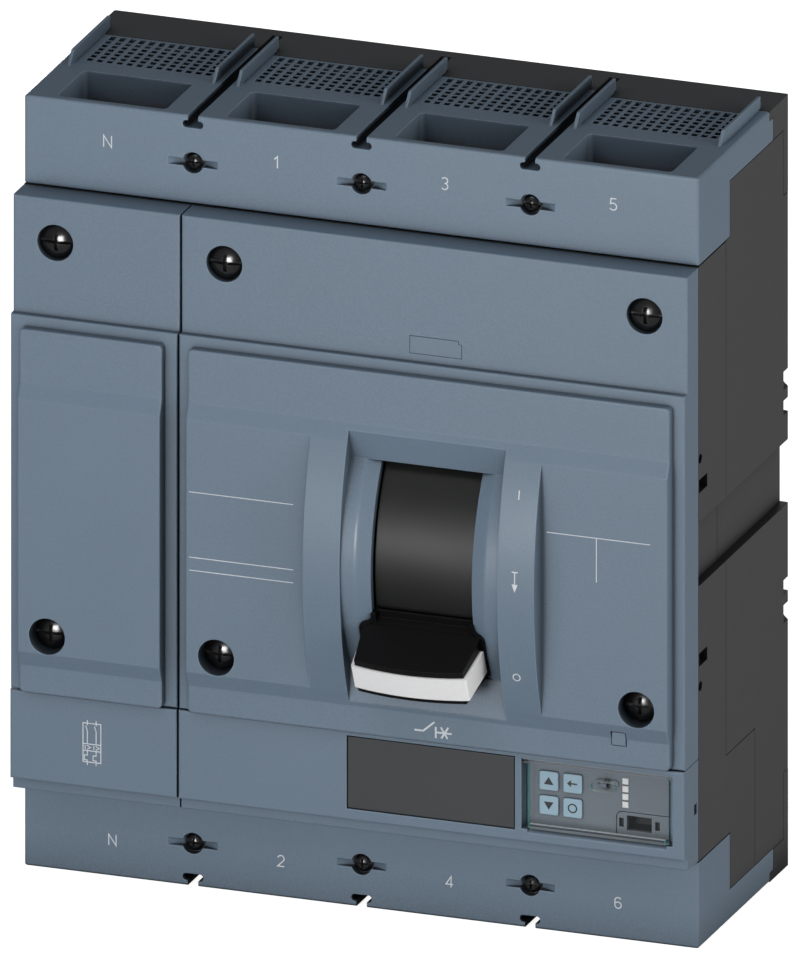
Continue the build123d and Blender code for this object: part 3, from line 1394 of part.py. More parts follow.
def make_fixed_tips():
    """Silver contact tips on the line conductors."""
    return group(
        block(
            x - ARM_HALF_W, x + ARM_HALF_W,
            fixed_face_y(), fixed_face_y() + TIP_T, ARM_TOP_Z - TIP_H - 1, ARM_TOP_Z + 1,
        )
        for x in POLES
    )


def make_line_terminals():
    """Copper bars from the upper terminals to the fixed contacts."""
    inner_y = fixed_face_y() + TIP_T
    outer_y = TERMINAL_FACE_Y
    bars = []
    for x in POLES:
        x0, x1 = x - BAR_W / 2, x + BAR_W / 2
        bar = block(x0, x1, outer_y - BAR_T, outer_y, LINE_RUN_TOP_Z - BAR_T, TOP - BAR_END_GAP)
        bar += block(x0, x1, outer_y - BAR_T, inner_y + BAR_T, LINE_RUN_TOP_Z - BAR_T, LINE_RUN_TOP_Z)
        bar += block(x0, x1, inner_y, inner_y + BAR_T, ARM_TOP_Z - 18, LINE_RUN_TOP_Z)
        bar -= rod_y(x, TERMINAL_HOLE_Z, TERMINAL_HOLE_R, outer_y - BAR_T - 1, outer_y + 1)
        bars.append(bar)
    return group(bars)


def make_load_terminals():
    """Copper bars from the arms' collars, through the transformers, to the lower terminals."""
    outer_y, inner_y = TERMINAL_FACE_Y, LOAD_BAR_REAR_Y - BAR_T
    low = LOAD_RUN_TOP_Z - BAR_T
    bars = []
    for x in POLES:
        x0, x1 = x - BAR_W / 2, x + BAR_W / 2
        bar = block(x0, x1, outer_y - BAR_T, outer_y, BOTTOM + BAR_END_GAP, LOAD_RUN_TOP_Z)
        bar += block(x0, x1, outer_y - BAR_T, LOAD_BAR_REAR_Y, low, LOAD_RUN_TOP_Z)
        bar += block(x0, x1, inner_y, LOAD_BAR_REAR_Y, low, SHAFT_Z - COLLAR_R - 2)
        jaw = block(
            x - ARM_HALF_W, x + ARM_HALF_W, inner_y, LOAD_BAR_REAR_Y,
            SHAFT_Z - COLLAR_R - 3, SHAFT_Z - 8,
        )
        bar += jaw
        bar -= rod_x(SHAFT_Y, SHAFT_Z, COLLAR_R + 0.3, x0 - 1, x1 + 1)
        bar -= rod_y(x, -TERMINAL_HOLE_Z, TERMINAL_HOLE_R, outer_y - BAR_T - 1, outer_y + 1)
        bars.append(bar)
    return group(bars)


def make_terminal_nuts():
    """Captive nuts behind the terminals."""
    nuts = []
    for x in POLES:
        for z in (TERMINAL_HOLE_Z, -TERMINAL_HOLE_Z):
            y0 = TERMINAL_FACE_Y + 0.1
            nut = front_face(hexagon(x, z, NUT_AF), y0, y0 + NUT_T)
            nuts.append(nut - rod_y(x, z, TERMINAL_HOLE_R - 0.9, y0 - 1, y0 + NUT_T + 1))
    return group(nuts)


def make_chute_plates():
    """Steel plates that split the arc, notched for the arm."""
    plates = []
    for x in POLES:
        for i in range(CHUTE_PLATES):
            y = CHUTE_REAR_Y - i * CHUTE_PITCH
            half = CHUTE_HALF - CHUTE_WALL_T
            plate = block(x - half, x + half, y - CHUTE_PLATE_T, y, CHUTE_LOW_Z, CHUTE_TOP_Z)
            plate -= block(
                x - CHUTE_NOTCH_HALF, x + CHUTE_NOTCH_HALF,
                y - 5, y + 5, CHUTE_LOW_Z - 1, CHUTE_NOTCH_Z,
            )
            plates.append(plate)
    return group(plates)


def make_chute_walls():
    """Insulating side walls that hold the arc plates and stand on the chamber's rear wall."""
    front = CHUTE_REAR_Y - (CHUTE_PLATES - 1) * CHUTE_PITCH - CHUTE_PLATE_T - 0.6
    walls = []
    for x in POLES:
        for s in (-1, 1):
            x0, x1 = sorted((x + s * (CHUTE_HALF - CHUTE_WALL_T + 0.05), x + s * CHUTE_HALF))
            wall = block(x0, x1, front, -REAR_WALL - 0.1, CHUTE_LOW_Z, CHUTE_TOP_Z)
            walls.append(wall)
    return group(walls)


def make_transformers():
    """Current transformers round the load conductors."""
    cores = []
    for x in POLES:
        core = block(x - 26, x + 26, -46, -REAR_WALL - 0.3, -90, -66)
        core = fillet(core.edges().filter_by(Axis.Z), 5)
        core -= block(
            x - BAR_W / 2 - 0.5, x + BAR_W / 2 + 0.5,
            LOAD_BAR_REAR_Y - BAR_T - 0.5, LOAD_BAR_REAR_Y + 0.5, -91, -65,
        )
        cores.append(core)
    return group(cores)


# ==================================================================== releases
def make_trip_bar():
    """Bar that frees the latch; the button and the magnetic release both turn it."""
    y, z, r = TRIP_BAR_Y, TRIP_BAR_Z, TRIP_BAR_R
    end = BUTTON_X - 0.7
    bar = rod_x(y, z, r, HANDLE_X - CHAMBER_HALF + 0.4, end)
    # flat that the latch falls behind
    bar -= block(
        HANDLE_X - LATCH_HALF - 1, HANDLE_X + LATCH_HALF + 1, y + LATCH_EDGE, y + 4, z + 0.5, z + 4
    )
    # paddle behind the button's stem
    paddle_y = STEM_END_Y + 0.3
    bar += block(end - 5, end, paddle_y, paddle_y + 2.7, BUTTON_Z - 3, z)
    bar += block(end - 5, BUTTON_X + 3, paddle_y, paddle_y + 2.7, BUTTON_Z - 3, BUTTON_Z + 4)
    # foot over the magnetic release
    return bar + block(ACTUATOR_X - 4, ACTUATOR_X + 4, y, y + 13, z - 1.5, z + 1.5)


def make_latch_lever():
    """Lever that holds the mechanism cocked, its tip over the flat of the trip bar."""
    x0, x1 = HANDLE_X - LATCH_HALF, HANDLE_X + LATCH_HALF
    tip_y = TRIP_BAR_Y + LATCH_EDGE + 0.05
    lever = block(x0, x1, tip_y, LATCH_Y, LATCH_Z - 2.9, LATCH_Z + 1.5)
    lever += rod_x(LATCH_Y, LATCH_Z, 4, x0, x1)
    return lever - rod_x(LATCH_Y, LATCH_Z, LATCH_R + RUN_FIT, x0 - 1, x1 + 1)


def make_latch_pin():
    """Pin of the latch, held in the side plates."""
    reach = CHAMBER_HALF - 0.3
    return rod_x(LATCH_Y, LATCH_Z, LATCH_R, HANDLE_X - reach, HANDLE_X + reach)


def make_trip_actuator():
    """Magnetic release on top of the trip unit's case."""
    z0 = FRONT_BAY_LOW_Z - 1.3
    top = z0 + 20
    body = block(ACTUATOR_X - 8, ACTUATOR_X + 8, ACTUATOR_Y - 7, ACTUATOR_Y + 3.5, z0, top)
    body = fillet(body.edges().filter_by(Axis.Z), 2)
    return body - rod_z(ACTUATOR_X, ACTUATOR_Y, PLUNGER_R + RUN_FIT, z0 + 4, top + 1)


def make_plunger():
    """Plunger that the release throws up at the trip bar."""
    z0 = FRONT_BAY_LOW_Z - 1.3
    head = TRIP_BAR_Z - 1.5 - 0.3
    plunger = rod_z(ACTUATOR_X, ACTUATOR_Y, PLUNGER_R, z0 + 5, head - 1)
    return plunger + rod_z(ACTUATOR_X, ACTUATOR_Y, 2.8, head - 1.6, head)


def make_trip_button():
    """Push-to-trip button with its flange and stem."""
    x, z = BUTTON_X, BUTTON_Z
    button = block(
        x - BUTTON_W / 2, x + BUTTON_W / 2, BUTTON_FACE_Y, -115, z - BUTTON_H / 2, z + BUTTON_H / 2
    )
    button = fillet(edges_near(button, Y=BUTTON_FACE_Y), 0.4)
    button += block(x - 5, x + 5, -116.8, -114.8, z - 4.8, z + 4.8)
    return button + rod_y(x, z, BUTTON_STEM_R, -115, STEM_END_Y)


def make_trip_button_spring():
    """Return spring of the push-to-trip button, round its stem."""
    y0, y1 = -114.75, FRONT - 0.05
    wire, coil_r, turns = 0.35, 3.2, 6
    helix = Helix(pitch=(y1 - y0 - 2 * wire) / turns, height=y1 - y0 - 2 * wire, radius=coil_r)
    section = (helix ^ 0) * Circle(wire)
    spring = sweep(section, path=helix)
    return Pos(BUTTON_X, y0 + wire, BUTTON_Z) * Rot(X=-90) * spring


# =================================================================== fasteners
def slotted_screw(head_r, rim_h, dome_h, shank_r, length, slot_w, cross):
    """A domed screw along +Y from its seat at the origin, with a combined slot and cross."""
    ball = (head_r**2 + dome_h**2) / (2 * dome_h)
    head = rod_y(0, 0, head_r, -rim_h, 0)
    dome = Pos(0, -rim_h + ball - dome_h, 0) * Sphere(ball)
    head += dome & rod_y(0, 0, head_r, -rim_h - dome_h - 1, -rim_h)
    crown = -rim_h - dome_h
    head -= block(-head_r, head_r, crown - 1, crown + dome_h * 1.2, -slot_w / 2, slot_w / 2)
    head -= block(-slot_w * 0.6, slot_w * 0.6, crown - 1, crown + dome_h * 1.2, -cross, cross)
    return head + rod_y(0, 0, shank_r, -0.5, length)


def make_cover_screws():
    """The six large screws of the front covers."""
    screw = slotted_screw(
        SCREW_HEAD_R, SCREW_RIM_H, SCREW_DOME_H,
        SCREW_SHANK_R, SCREW_LEN, SCREW_SLOT_W, SCREW_CROSS,
    )
    places = []
    for x in SCREW_XS:
        places.append((x, SCREW_UPPER_SEAT_Y, SCREW_ZS[0]))
        places.append((x, SCREW_LOWER_SEAT_Y, SCREW_ZS[1]))
    return group(Pos(*p) * screw for p in places)


def make_terminal_screws():
    """The small screws that hold the terminal covers."""
    screw = slotted_screw(
        SMALL_HEAD_R, SMALL_RIM_H, SMALL_DOME_H,
        SMALL_SHANK_R, SMALL_SCREW_LEN, SMALL_SLOT_W, SMALL_CROSS,
    )
    return group(
        Pos(x, SMALL_SEAT_Y, z) * screw
        for x in BOUNDARIES
        for z in (SMALL_UPPER_Z, SMALL_LOWER_Z)
    )


# ==================================================================== assembly
def lower_end(shape_maker, *sizes):
    """Makes an end piece at the top and turns it over for the bottom."""
    return mirrored(shape_maker(*sizes))


GRILLE = vent_grille()

NODES = {
    "rear_housing": make_rear_housing(),
    "front_housing": make_front_housing(),
    "upper_end_block": end_block(UPPER_ARM_T, MOUNT_Z),
    "lower_end_block": lower_end(end_block, LOWER_ARM_T, MOUNT_Z),
    "upper_terminal_cover": terminal_cover(UPPER_ARM_T, UPPER_COVER_H, SMALL_UPPER_Z, True),
    "lower_terminal_cover": lower_end(
        terminal_cover, LOWER_ARM_T, LOWER_COVER_H, -SMALL_LOWER_Z, False
    ),
    "upper_vent_grilles": group(Pos(x, 0, 0) * GRILLE for x in POLES),
    "lower_vent_grilles": group(mirrored(Pos(x, 0, 0) * GRILLE) for x in POLES),
    "main_cover": make_main_cover(),
    "neutral_cover": make_neutral_cover(),
    "trip_unit_cover": make_trip_unit_cover(),
    "neutral_lower_cover": make_neutral_lower_cover(),
    "accessory_tab": make_accessory_tab(),
    "display_window": make_display_window(),
    "keypad_panel": make_keypad_panel(),
    **{name: make_key(name) for name in key_places()},
    "status_lamps": make_lamps(),
    "test_port": make_test_port(),
    "test_connector": make_test_connector(),
    "sealing_lug": make_sealing_lug(),
    "keypad_flap": make_flap(),
    "trip_unit_case": make_trip_unit_case(),
    "trip_circuit_board": make_circuit_board(),
    "toggle_lever": make_toggle_lever(),
    "toggle_cap": make_toggle_cap(),
    "toggle_shutter": make_shutter(),
    "toggle_yoke": make_yoke(),
    "drive_springs": make_drive_springs(),
    "mechanism_side_plates": make_side_plates(),
    "toggle_pivot_pins": make_pivot_pins(),
    "contact_crossbar": make_crossbar(),
    "contact_arms": make_contact_arms(),
    "moving_contact_tips": make_moving_tips(),
    "fixed_contact_tips": make_fixed_tips(),
    "line_terminals": make_line_terminals(),
    "load_terminals": make_load_terminals(),
    "terminal_nuts": make_terminal_nuts(),
    "arc_chute_plates": make_chute_plates(),
    "arc_chute_walls": make_chute_walls(),
    "current_transformers": make_transformers(),
    "trip_bar": make_trip_bar(),
    "latch_lever": make_latch_lever(),
    "latch_pin": make_latch_pin(),
    "trip_actuator": make_trip_actuator(),
    "actuator_plunger": make_plunger(),
    "push_to_trip_button": make_trip_button(),
    "push_to_trip_spring": make_trip_button_spring(),
    "cover_screws": make_cover_screws(),
    "terminal_cover_screws": make_terminal_screws(),
}

for name, shape in NODES.items():
    export_step(shape, f"parts/{name}.step")
    print(name, len(shape.solids()), "solids")
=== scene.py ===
import json
import math

import bpy
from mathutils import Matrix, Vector


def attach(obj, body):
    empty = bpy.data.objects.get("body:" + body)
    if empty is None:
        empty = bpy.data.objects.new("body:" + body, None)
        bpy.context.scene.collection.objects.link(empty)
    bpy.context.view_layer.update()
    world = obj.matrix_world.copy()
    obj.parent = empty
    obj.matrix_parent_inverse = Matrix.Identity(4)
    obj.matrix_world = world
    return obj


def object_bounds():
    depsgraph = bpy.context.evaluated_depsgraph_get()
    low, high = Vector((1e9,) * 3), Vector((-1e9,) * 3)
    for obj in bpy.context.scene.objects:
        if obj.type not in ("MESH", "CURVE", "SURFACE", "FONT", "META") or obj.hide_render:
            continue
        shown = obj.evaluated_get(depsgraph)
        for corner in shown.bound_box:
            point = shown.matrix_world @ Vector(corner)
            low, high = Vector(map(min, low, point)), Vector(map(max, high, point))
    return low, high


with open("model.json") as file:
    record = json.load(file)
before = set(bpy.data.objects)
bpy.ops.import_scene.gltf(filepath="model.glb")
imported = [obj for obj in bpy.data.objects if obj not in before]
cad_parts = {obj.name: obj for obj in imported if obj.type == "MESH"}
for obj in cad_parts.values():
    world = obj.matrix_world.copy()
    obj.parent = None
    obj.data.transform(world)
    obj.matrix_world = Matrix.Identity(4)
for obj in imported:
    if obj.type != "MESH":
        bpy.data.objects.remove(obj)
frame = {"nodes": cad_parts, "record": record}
cad_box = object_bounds()
MM = 0.001

# ------------------------------------------------------------------- surfaces
# The printed marks lie on these planes and curves of the covers, in millimetres.
TERMINAL_FACE = -103.0
PLATEAU = -125.3
STRIP = -122.8
TRIP_FACE = -119.5
KEY_FACE = -114.1
WING_CREST = -134.4
WING_MID_Z = -10.4
WING_HALF_CHORD = 52.4
INK_LIFT = 0.05
INK_LAYER = 0.002  # each stroke lies this much over the one before it
MITRE_LIMIT = 0.35
SHORTEST = 1e-6
POLES = (-105.0, -35.0, 35.0, 105.0)

# ------------------------------------------------------------------ materials


def empty_material(name):
    """A material with nothing but its output node."""
    m = bpy.data.materials.new(name)
    m.use_nodes = True
    nodes, links = m.node_tree.nodes, m.node_tree.links
    nodes.clear()
    return m, nodes, links, nodes.new("ShaderNodeOutputMaterial")


def new_material(name):
    m, nodes, links, out = empty_material(name)
    shader = nodes.new("ShaderNodeBsdfPrincipled")
    links.new(shader.outputs[0], out.inputs[0])
    return m, nodes, links, shader


def noise(nodes, links, coord, scale, detail=2.0, rough=0.5, stretch=None):
    """A noise texture in millimetres; scale is how many features fit in a metre."""
    source = coord
    if stretch:
        mapping = nodes.new("ShaderNodeMapping")
        mapping.inputs["Scale"].default_value = stretch
        links.new(coord, mapping.inputs["Vector"])
        source = mapping.outputs["Vector"]
    n = nodes.new("ShaderNodeTexNoise")
    n.inputs["Scale"].default_value = scale
    n.inputs["Detail"].default_value = detail
    n.inputs["Roughness"].default_value = rough
    links.new(source, n.inputs["Vector"])
    return n.outputs["Fac"]


def remap(nodes, links, value, low, high, to_low, to_high):
    r = nodes.new("ShaderNodeMapRange")
    r.inputs["From Min"].default_value = low
    r.inputs["From Max"].default_value = high
    r.inputs["To Min"].default_value = to_low
    r.inputs["To Max"].default_value = to_high
    links.new(value, r.inputs["Value"])
    return r.outputs["Result"]


def mix_colour(nodes, links, fac, a, b, blend="MIX"):
    m = nodes.new("ShaderNodeMix")
    m.data_type = "RGBA"
    m.blend_type = blend
    for socket, value in ((m.inputs[0], fac), (m.inputs[6], a), (m.inputs[7], b)):
        if hasattr(value, "is_output"):
            links.new(value, socket)
        elif isinstance(value, (int, float)):
            socket.default_value = value
        else:
            socket.default_value = (*value, 1.0)
    return m.outputs[2]


def relief(nodes, links, shader, height, strength, depth, normal=None):
    """Raises the surface by a height pattern; depth is in metres."""
    bump = nodes.new("ShaderNodeBump")
    bump.inputs["Strength"].default_value = strength
    bump.inputs["Distance"].default_value = depth
    links.new(height, bump.inputs["Height"])
    if normal:
        links.new(normal, bump.inputs["Normal"])
    links.new(bump.outputs[0], shader.inputs["Normal"])


def edge_mask(nodes, links, radius):
    """Near 1 on edges, 0 on flats, and the rounded normal that gives it."""
    bevel = nodes.new("ShaderNodeBevel")
    bevel.samples = 4
    bevel.inputs["Radius"].default_value = radius
    geometry = nodes.new("ShaderNodeNewGeometry")
    dot = nodes.new("ShaderNodeVectorMath")
    dot.operation = "DOT_PRODUCT"
    links.new(bevel.outputs[0], dot.inputs[0])
    links.new(geometry.outputs["Normal"], dot.inputs[1])
    return remap(nodes, links, dot.outputs["Value"], 0.985, 0.80, 0.0, 1.0), bevel.outputs[0]


def recess_shade_mask(nodes, links, reach, shut, clear):
    """Mask for painted shade: 1 on open faces, falling towards 0 deep in slots, windows and vent
    holes.
    """
    hidden = nodes.new("ShaderNodeAmbientOcclusion")
    hidden.samples = 6
    hidden.inputs["Distance"].default_value = reach
    return remap(nodes, links, hidden.outputs["AO"], shut, clear, 0.0, 1.0)


def moulded(name, colour, rough, grain=2600.0, depth=0.00004, edge_gain=0.2, edge=0.00035,
            mottle=0.09, coat=0.0, dusk=0.15, reach=0.02, gloss=0.42,
            shut=0.3, clear=0.8):
    """Moulded plastic: spark-eroded grain, faint flow mottling, edges a little paler (partly wear,
    partly a painted highlight) and painted shade in slots, windows and holes.
    """
    m, nodes, links, shader = new_material(name)
    coord = nodes.new("ShaderNodeTexCoord").outputs["Object"]
    mask, normal = edge_mask(nodes, links, edge)
    broad = noise(nodes, links, coord, 22.0, 3.0, 0.55)
    fine = noise(nodes, links, coord, grain * 0.55, 3.0, 0.6)
    dark = tuple(c * (1 - mottle) for c in colour)
    light = tuple(min(1.0, c * (1 + mottle)) for c in colour)
    cloudy = remap(nodes, links, broad, 0.0, 1.0, 0.3, 0.7)
    base = mix_colour(nodes, links, cloudy, dark, light)
    speck = remap(nodes, links, fine, 0.3, 0.7, 0.0, 1.0)
    grained = mix_colour(nodes, links, speck, dark, light)
    both = mix_colour(nodes, links, 0.45, base, grained)
    # painted highlight: edges are made paler, partly as handling wear and partly as light caught on
    # the rounded edges
    worn_and_highlit = tuple(min(1.0, c * (1 + 3 * edge_gain) + 0.02 * edge_gain) for c in colour)
    strength = remap(nodes, links, mask, 0.0, 1.0, 0.0, 0.8)
    worn_and_highlit_edges = mix_colour(nodes, links, strength, both, worn_and_highlit)
    # painted shade: the colour falls to a darker copy of itself in slots, windows, holes and inner
    # corners
    shade = tuple(c * dusk for c in colour)
    openness = recess_shade_mask(nodes, links, reach, shut, clear)
    links.new(mix_colour(nodes, links, openness, shade, worn_and_highlit_edges), shader.inputs["Base Color"])
    links.new(remap(nodes, links, broad, 0.3, 0.7, rough - 0.04, rough + 0.04),
              shader.inputs["Roughness"])
    pits = noise(nodes, links, coord, grain, 2.0, 0.6)
    relief(nodes, links, shader, pits, 0.6, depth, normal)
    shader.inputs["Specular IOR Level"].default_value = gloss
    if coat:
        shader.inputs["Coat Weight"].default_value = coat
        shader.inputs["Coat Roughness"].default_value = 0.18
    return m


def metal(name, colour, rough, stretch, scratch=700.0, depth=0.00003, tarnish=None):
    """Metal with drawn or rolled lines, spots of tarnish and brighter edges."""
    m, nodes, links, shader = new_material(name)
    coord = nodes.new("ShaderNodeTexCoord").outputs["Object"]
    mask, normal = edge_mask(nodes, links, 0.0003)
    lines = noise(nodes, links, coord, scratch, 4.0, 0.6, stretch)
    cloud = noise(nodes, links, coord, 60.0, 4.0, 0.6)
    dull = tarnish or tuple(c * 0.62 for c in colour)
    cloud_share = remap(nodes, links, cloud, 0.42, 0.72, 0.0, 0.75)
    stained = mix_colour(nodes, links, cloud_share, colour, dull)
    bright = tuple(min(1.0, c * 1.15) for c in colour)
    links.new(mix_colour(nodes, links, mask, stained, bright), shader.inputs["Base Color"])
    shader.inputs["Metallic"].default_value = 1.0
    links.new(remap(nodes, links, lines, 0.25, 0.75, rough - 0.08, rough + 0.12),
              shader.inputs["Roughness"])
    relief(nodes, links, shader, lines, 0.5, depth, normal)
    return m


def ink_material(name, colour, rough=0.5):
    """Pad-printed ink, a little uneven in cover."""
    m, nodes, links, shader = new_material(name)
    coord = nodes.new("ShaderNodeTexCoord").outputs["Object"]
    cover = noise(nodes, links, coord, 1500.0, 3.0, 0.6)
    thin = tuple(c * 0.86 for c in colour)
    share = remap(nodes, links, cover, 0.35, 0.75, 0.0, 1.0)
    links.new(mix_colour(nodes, links, share, colour, thin), shader.inputs["Base Color"])
    links.new(remap(nodes, links, cover, 0.3, 0.7, rough - 0.06, rough + 0.06),
              shader.inputs["Roughness"])
    relief(nodes, links, shader, cover, 0.3, 0.00002)
    return m


def clear_plastic(name, colour, end_glow_colour, alpha):
    """Clear polycarbonate with faint moulding ripples, fine scuffs and painted glints on its cut
    edges.
    """
    m, nodes, links, shader = new_material(name)
    coord = nodes.new("ShaderNodeTexCoord").outputs["Object"]
    ripple = noise(nodes, links, coord, 90.0, 2.0, 0.5)
    scuff = noise(nodes, links, coord, 1800.0, 4.0, 0.7, (1.0, 1.0, 0.2))
    links.new(remap(nodes, links, scuff, 0.45, 0.8, 0.05, 0.16), shader.inputs["Roughness"])
    # painted highlight: the cut edges are painted pale and nearly opaque on the top and bottom faces
    # as a glint, and green at the ends as light carried through the sheet
    split = nodes.new("ShaderNodeSeparateXYZ")
    links.new(nodes.new("ShaderNodeTexCoord").outputs["Normal"], split.inputs[0])
    shares = []
    for axis in "XY":
        size = nodes.new("ShaderNodeMath")
        size.operation = "ABSOLUTE"
        links.new(split.outputs[axis], size.inputs[0])
        shares.append(remap(nodes, links, size.outputs[0], 0.5, 0.9, 0.0, 1.0))
    end_cut, front = shares
    edges = mix_colour(nodes, links, end_cut, (0.62, 0.66, 0.67), end_glow_colour)
    links.new(mix_colour(nodes, links, front, edges, colour), shader.inputs["Base Color"])
    links.new(remap(nodes, links, front, 0.0, 1.0, 0.8, alpha), shader.inputs["Alpha"])
    shader.inputs["IOR"].default_value = 1.58
    shader.inputs["Specular IOR Level"].default_value = 0.12
    relief(nodes, links, shader, ripple, 0.15, 0.0001)
    return m


def board_material(name):
    """Green solder mask over copper tracks."""
    m, nodes, links, shader = new_material(name)
    coord = nodes.new("ShaderNodeTexCoord").outputs["Object"]
    brick = nodes.new("ShaderNodeTexBrick")
    brick.inputs["Scale"].default_value = 60.0
    brick.inputs["Mortar Size"].default_value = 0.06
    mapping = nodes.new("ShaderNodeMapping")
    mapping.inputs["Rotation"].default_value = (math.pi / 2, 0, 0)
    links.new(coord, mapping.inputs["Vector"])
    links.new(mapping.outputs["Vector"], brick.inputs["Vector"])
    tracks = mix_colour(nodes, links, brick.outputs["Fac"], (0.012, 0.10, 0.035), (0.03, 0.2, 0.07))
    links.new(tracks, shader.inputs["Base Color"])
    grain = noise(nodes, links, coord, 900.0)
    links.new(remap(nodes, links, grain, 0.3, 0.7, 0.28, 0.4), shader.inputs["Roughness"])
    bump = nodes.new("ShaderNodeBump")
    bump.inputs["Distance"].default_value = 0.0001
    links.new(brick.outputs["Fac"], bump.inputs["Height"])
    links.new(bump.outputs[0], shader.inputs["Normal"])
    return m


# dusk, reach, shut and clear set the painted shade in recesses, and edge_gain sets the painted edge
# highlight
MATERIALS = {
    "case_black": moulded("case_black_plastic", (0.067, 0.069, 0.072), 0.60, edge_gain=0.12,
                          mottle=0.16, dusk=0.08, shut=0.5, clear=0.95),
    "case_grey": moulded("case_grey_plastic", (0.155, 0.215, 0.283), 0.46, edge_gain=0.3,
                         edge=0.0008, mottle=0.16, coat=0.2, dusk=0.07, reach=0.035,
                         shut=0.28, clear=0.62),
    "cover_grey": moulded("cover_grey_plastic", (0.151, 0.209, 0.275), 0.45, edge_gain=0.3,
                          edge=0.0008, mottle=0.16, coat=0.2),
    "tab_grey": moulded("tab_grey_plastic", (0.153, 0.210, 0.273), 0.45, coat=0.2),
    "display": moulded("display_plastic", (0.048, 0.051, 0.055), 0.42, grain=4000, depth=0.00001,
                       reach=0.004),
    "keypad": moulded("keypad_plastic", (0.178, 0.212, 0.248), 0.5, grain=3200,
                      reach=0.004),
    "key_blue": moulded("key_plastic", (0.36, 0.52, 0.63), 0.45, grain=3200, depth=0.00002,
                        reach=0.002),
    "lamp_white": moulded("lamp_plastic", (0.92, 0.93, 0.93), 0.3, depth=0.00001, reach=0.001),
    "socket_black": moulded("socket_plastic", (0.02, 0.021, 0.022), 0.45),
    # the green is a painted glow on the flap's end faces
    "flap_clear": clear_plastic("flap_polycarbonate", (0.3, 0.34, 0.36), (0.04, 0.42, 0.38), 0.035),
    "inner_plastic": moulded("inner_plastic", (0.05, 0.05, 0.055), 0.5),
    "board_green": board_material("board_laminate"),
    "handle_black": moulded("handle_plastic", (0.0045, 0.0042, 0.0046), 0.45, grain=3000,
                            depth=0.00002, edge_gain=0.3, reach=0.004, gloss=0.16),
    "cap_white": moulded("cap_plastic", (0.95, 0.95, 0.96), 0.42, depth=0.00002, edge_gain=0.02,
                         reach=0.001),
    "steel": metal("zinc_steel", (0.58, 0.57, 0.53), 0.35, (1, 0.15, 1)),
    "shaft_brown": moulded("shaft_thermoset", (0.11, 0.055, 0.032), 0.5),
    "copper": metal("bare_copper", (0.75, 0.40, 0.25), 0.32, (0.15, 1, 1), tarnish=(0.4, 0.2, 0.13)),
    "silver": metal("contact_silver", (0.82, 0.81, 0.77), 0.3, (1, 1, 0.4)),
    "fibre": moulded("pressed_fibre", (0.48, 0.40, 0.30), 0.8, grain=1200, depth=0.0001),
    "transformer": moulded("cast_resin", (0.15, 0.05, 0.03), 0.4),
    "trip_plastic": moulded("filled_plastic", (0.5, 0.46, 0.38), 0.55),
    "plunger_steel": metal("ground_steel", (0.55, 0.55, 0.55), 0.25, (1, 1, 0.1)),
    # the high edge gain paints a strong highlight on the screw rims
    "screw_black": moulded("black_oxide", (0.008, 0.008, 0.009), 0.24, grain=3500,
                           depth=0.00001, edge_gain=1.2, edge=0.00025, coat=0.8),
}
# the trip unit cover uses the same plastic with only a little painted shade in its recess
TRIP_COVER_GREY = moulded("trip_cover_plastic", (0.151, 0.209, 0.275), 0.45, edge_gain=0.3,
                          edge=0.0008, mottle=0.16, coat=0.2, reach=0.004)
SHUTTER_BLACK = moulded("shutter_plastic", (0.008, 0.0082, 0.0083), 0.38, grain=3000,
                        depth=0.00002, edge_gain=0.3, reach=0.006, gloss=0.38)
for sub in frame["record"]["subparts"]:
    made = frame["nodes"][sub["node"]]
    made.data.materials.clear()
    made.data.materials.append(MATERIALS[sub["material_slot"]])
for node, material in (("toggle_shutter", SHUTTER_BLACK), ("trip_unit_cover", TRIP_COVER_GREY)):
    own = frame["nodes"][node].data.materials
    own.clear()
    own.append(material)
INK = ink_material("pale_ink", (0.72, 0.76, 0.80))
DARK_INK = ink_material("dark_ink", (0.012, 0.013, 0.015))

# -------------------------------------------------------------- printed marks


def flat(y):
    return lambda x, z: y


def wing_surface(x, z):
    """Front of the arched shoulders beside the handle."""
    rise = -WING_CREST + PLATEAU
    radius = (WING_HALF_CHORD**2 + rise**2) / (2 * rise)
    return WING_CREST + radius - math.sqrt(radius**2 - (z - WING_MID_Z) ** 2)


def circle(cx, cz, r, start=0, end=360, steps=28):
    """Points on an arc, degrees counted from +X towards +Z."""
    angles = [math.radians(start + (end - start) * i / steps) for i in range(steps + 1)]
    return [(cx + r * math.cos(a), cz + r * math.sin(a)) for a in angles]


def ribbon(points, width, closed=False):
    """A band of quads along a line, mitred at its corners."""
    pts = list(points)
    if closed and pts[0] == pts[-1]:
        pts = pts[:-1]
    n = len(pts)
    left, right = [], []
    for i, p in enumerate(pts):
        before = pts[i - 1] if (i or closed) else None
        after = pts[(i + 1) % n] if (i < n - 1 or closed) else None
        dirs = []
        for a, b in ((before, p), (p, after)):
            if a is not None and b is not None:
                d = Vector((b[0] - a[0], b[1] - a[1]))
                if d.length > SHORTEST:
                    dirs.append(d.normalized())
        mean = sum(dirs, Vector((0, 0)))
        mean = mean.normalized() if mean.length > SHORTEST else dirs[0]
        stretch = 1 / max(MITRE_LIMIT, mean.dot(dirs[0]))
        side = Vector((-mean.y, mean.x)) * width / 2 * stretch
        left.append((p[0] + side.x, p[1] + side.y))
        right.append((p[0] - side.x, p[1] - side.y))
    quads = []
    for i in range(n if closed else n - 1):
        j = (i + 1) % n
        quads.append([left[i], right[i], right[j], left[j]])
    return quads


def split_long(polygon, step=1.5):
    """Cuts a quad along its length so that it can follow a curved face."""
    if len(polygon) != 4:
        return [polygon]
    a, b, c, d = [Vector(p) for p in polygon]
    count = max(1, int(max((d - a).length, (c - b).length) / step))
    rows = [(a.lerp(d, i / count), b.lerp(c, i / count)) for i in range(count + 1)]
    return [[rows[i][0], rows[i][1], rows[i + 1][1], rows[i + 1][0]] for i in range(count)]


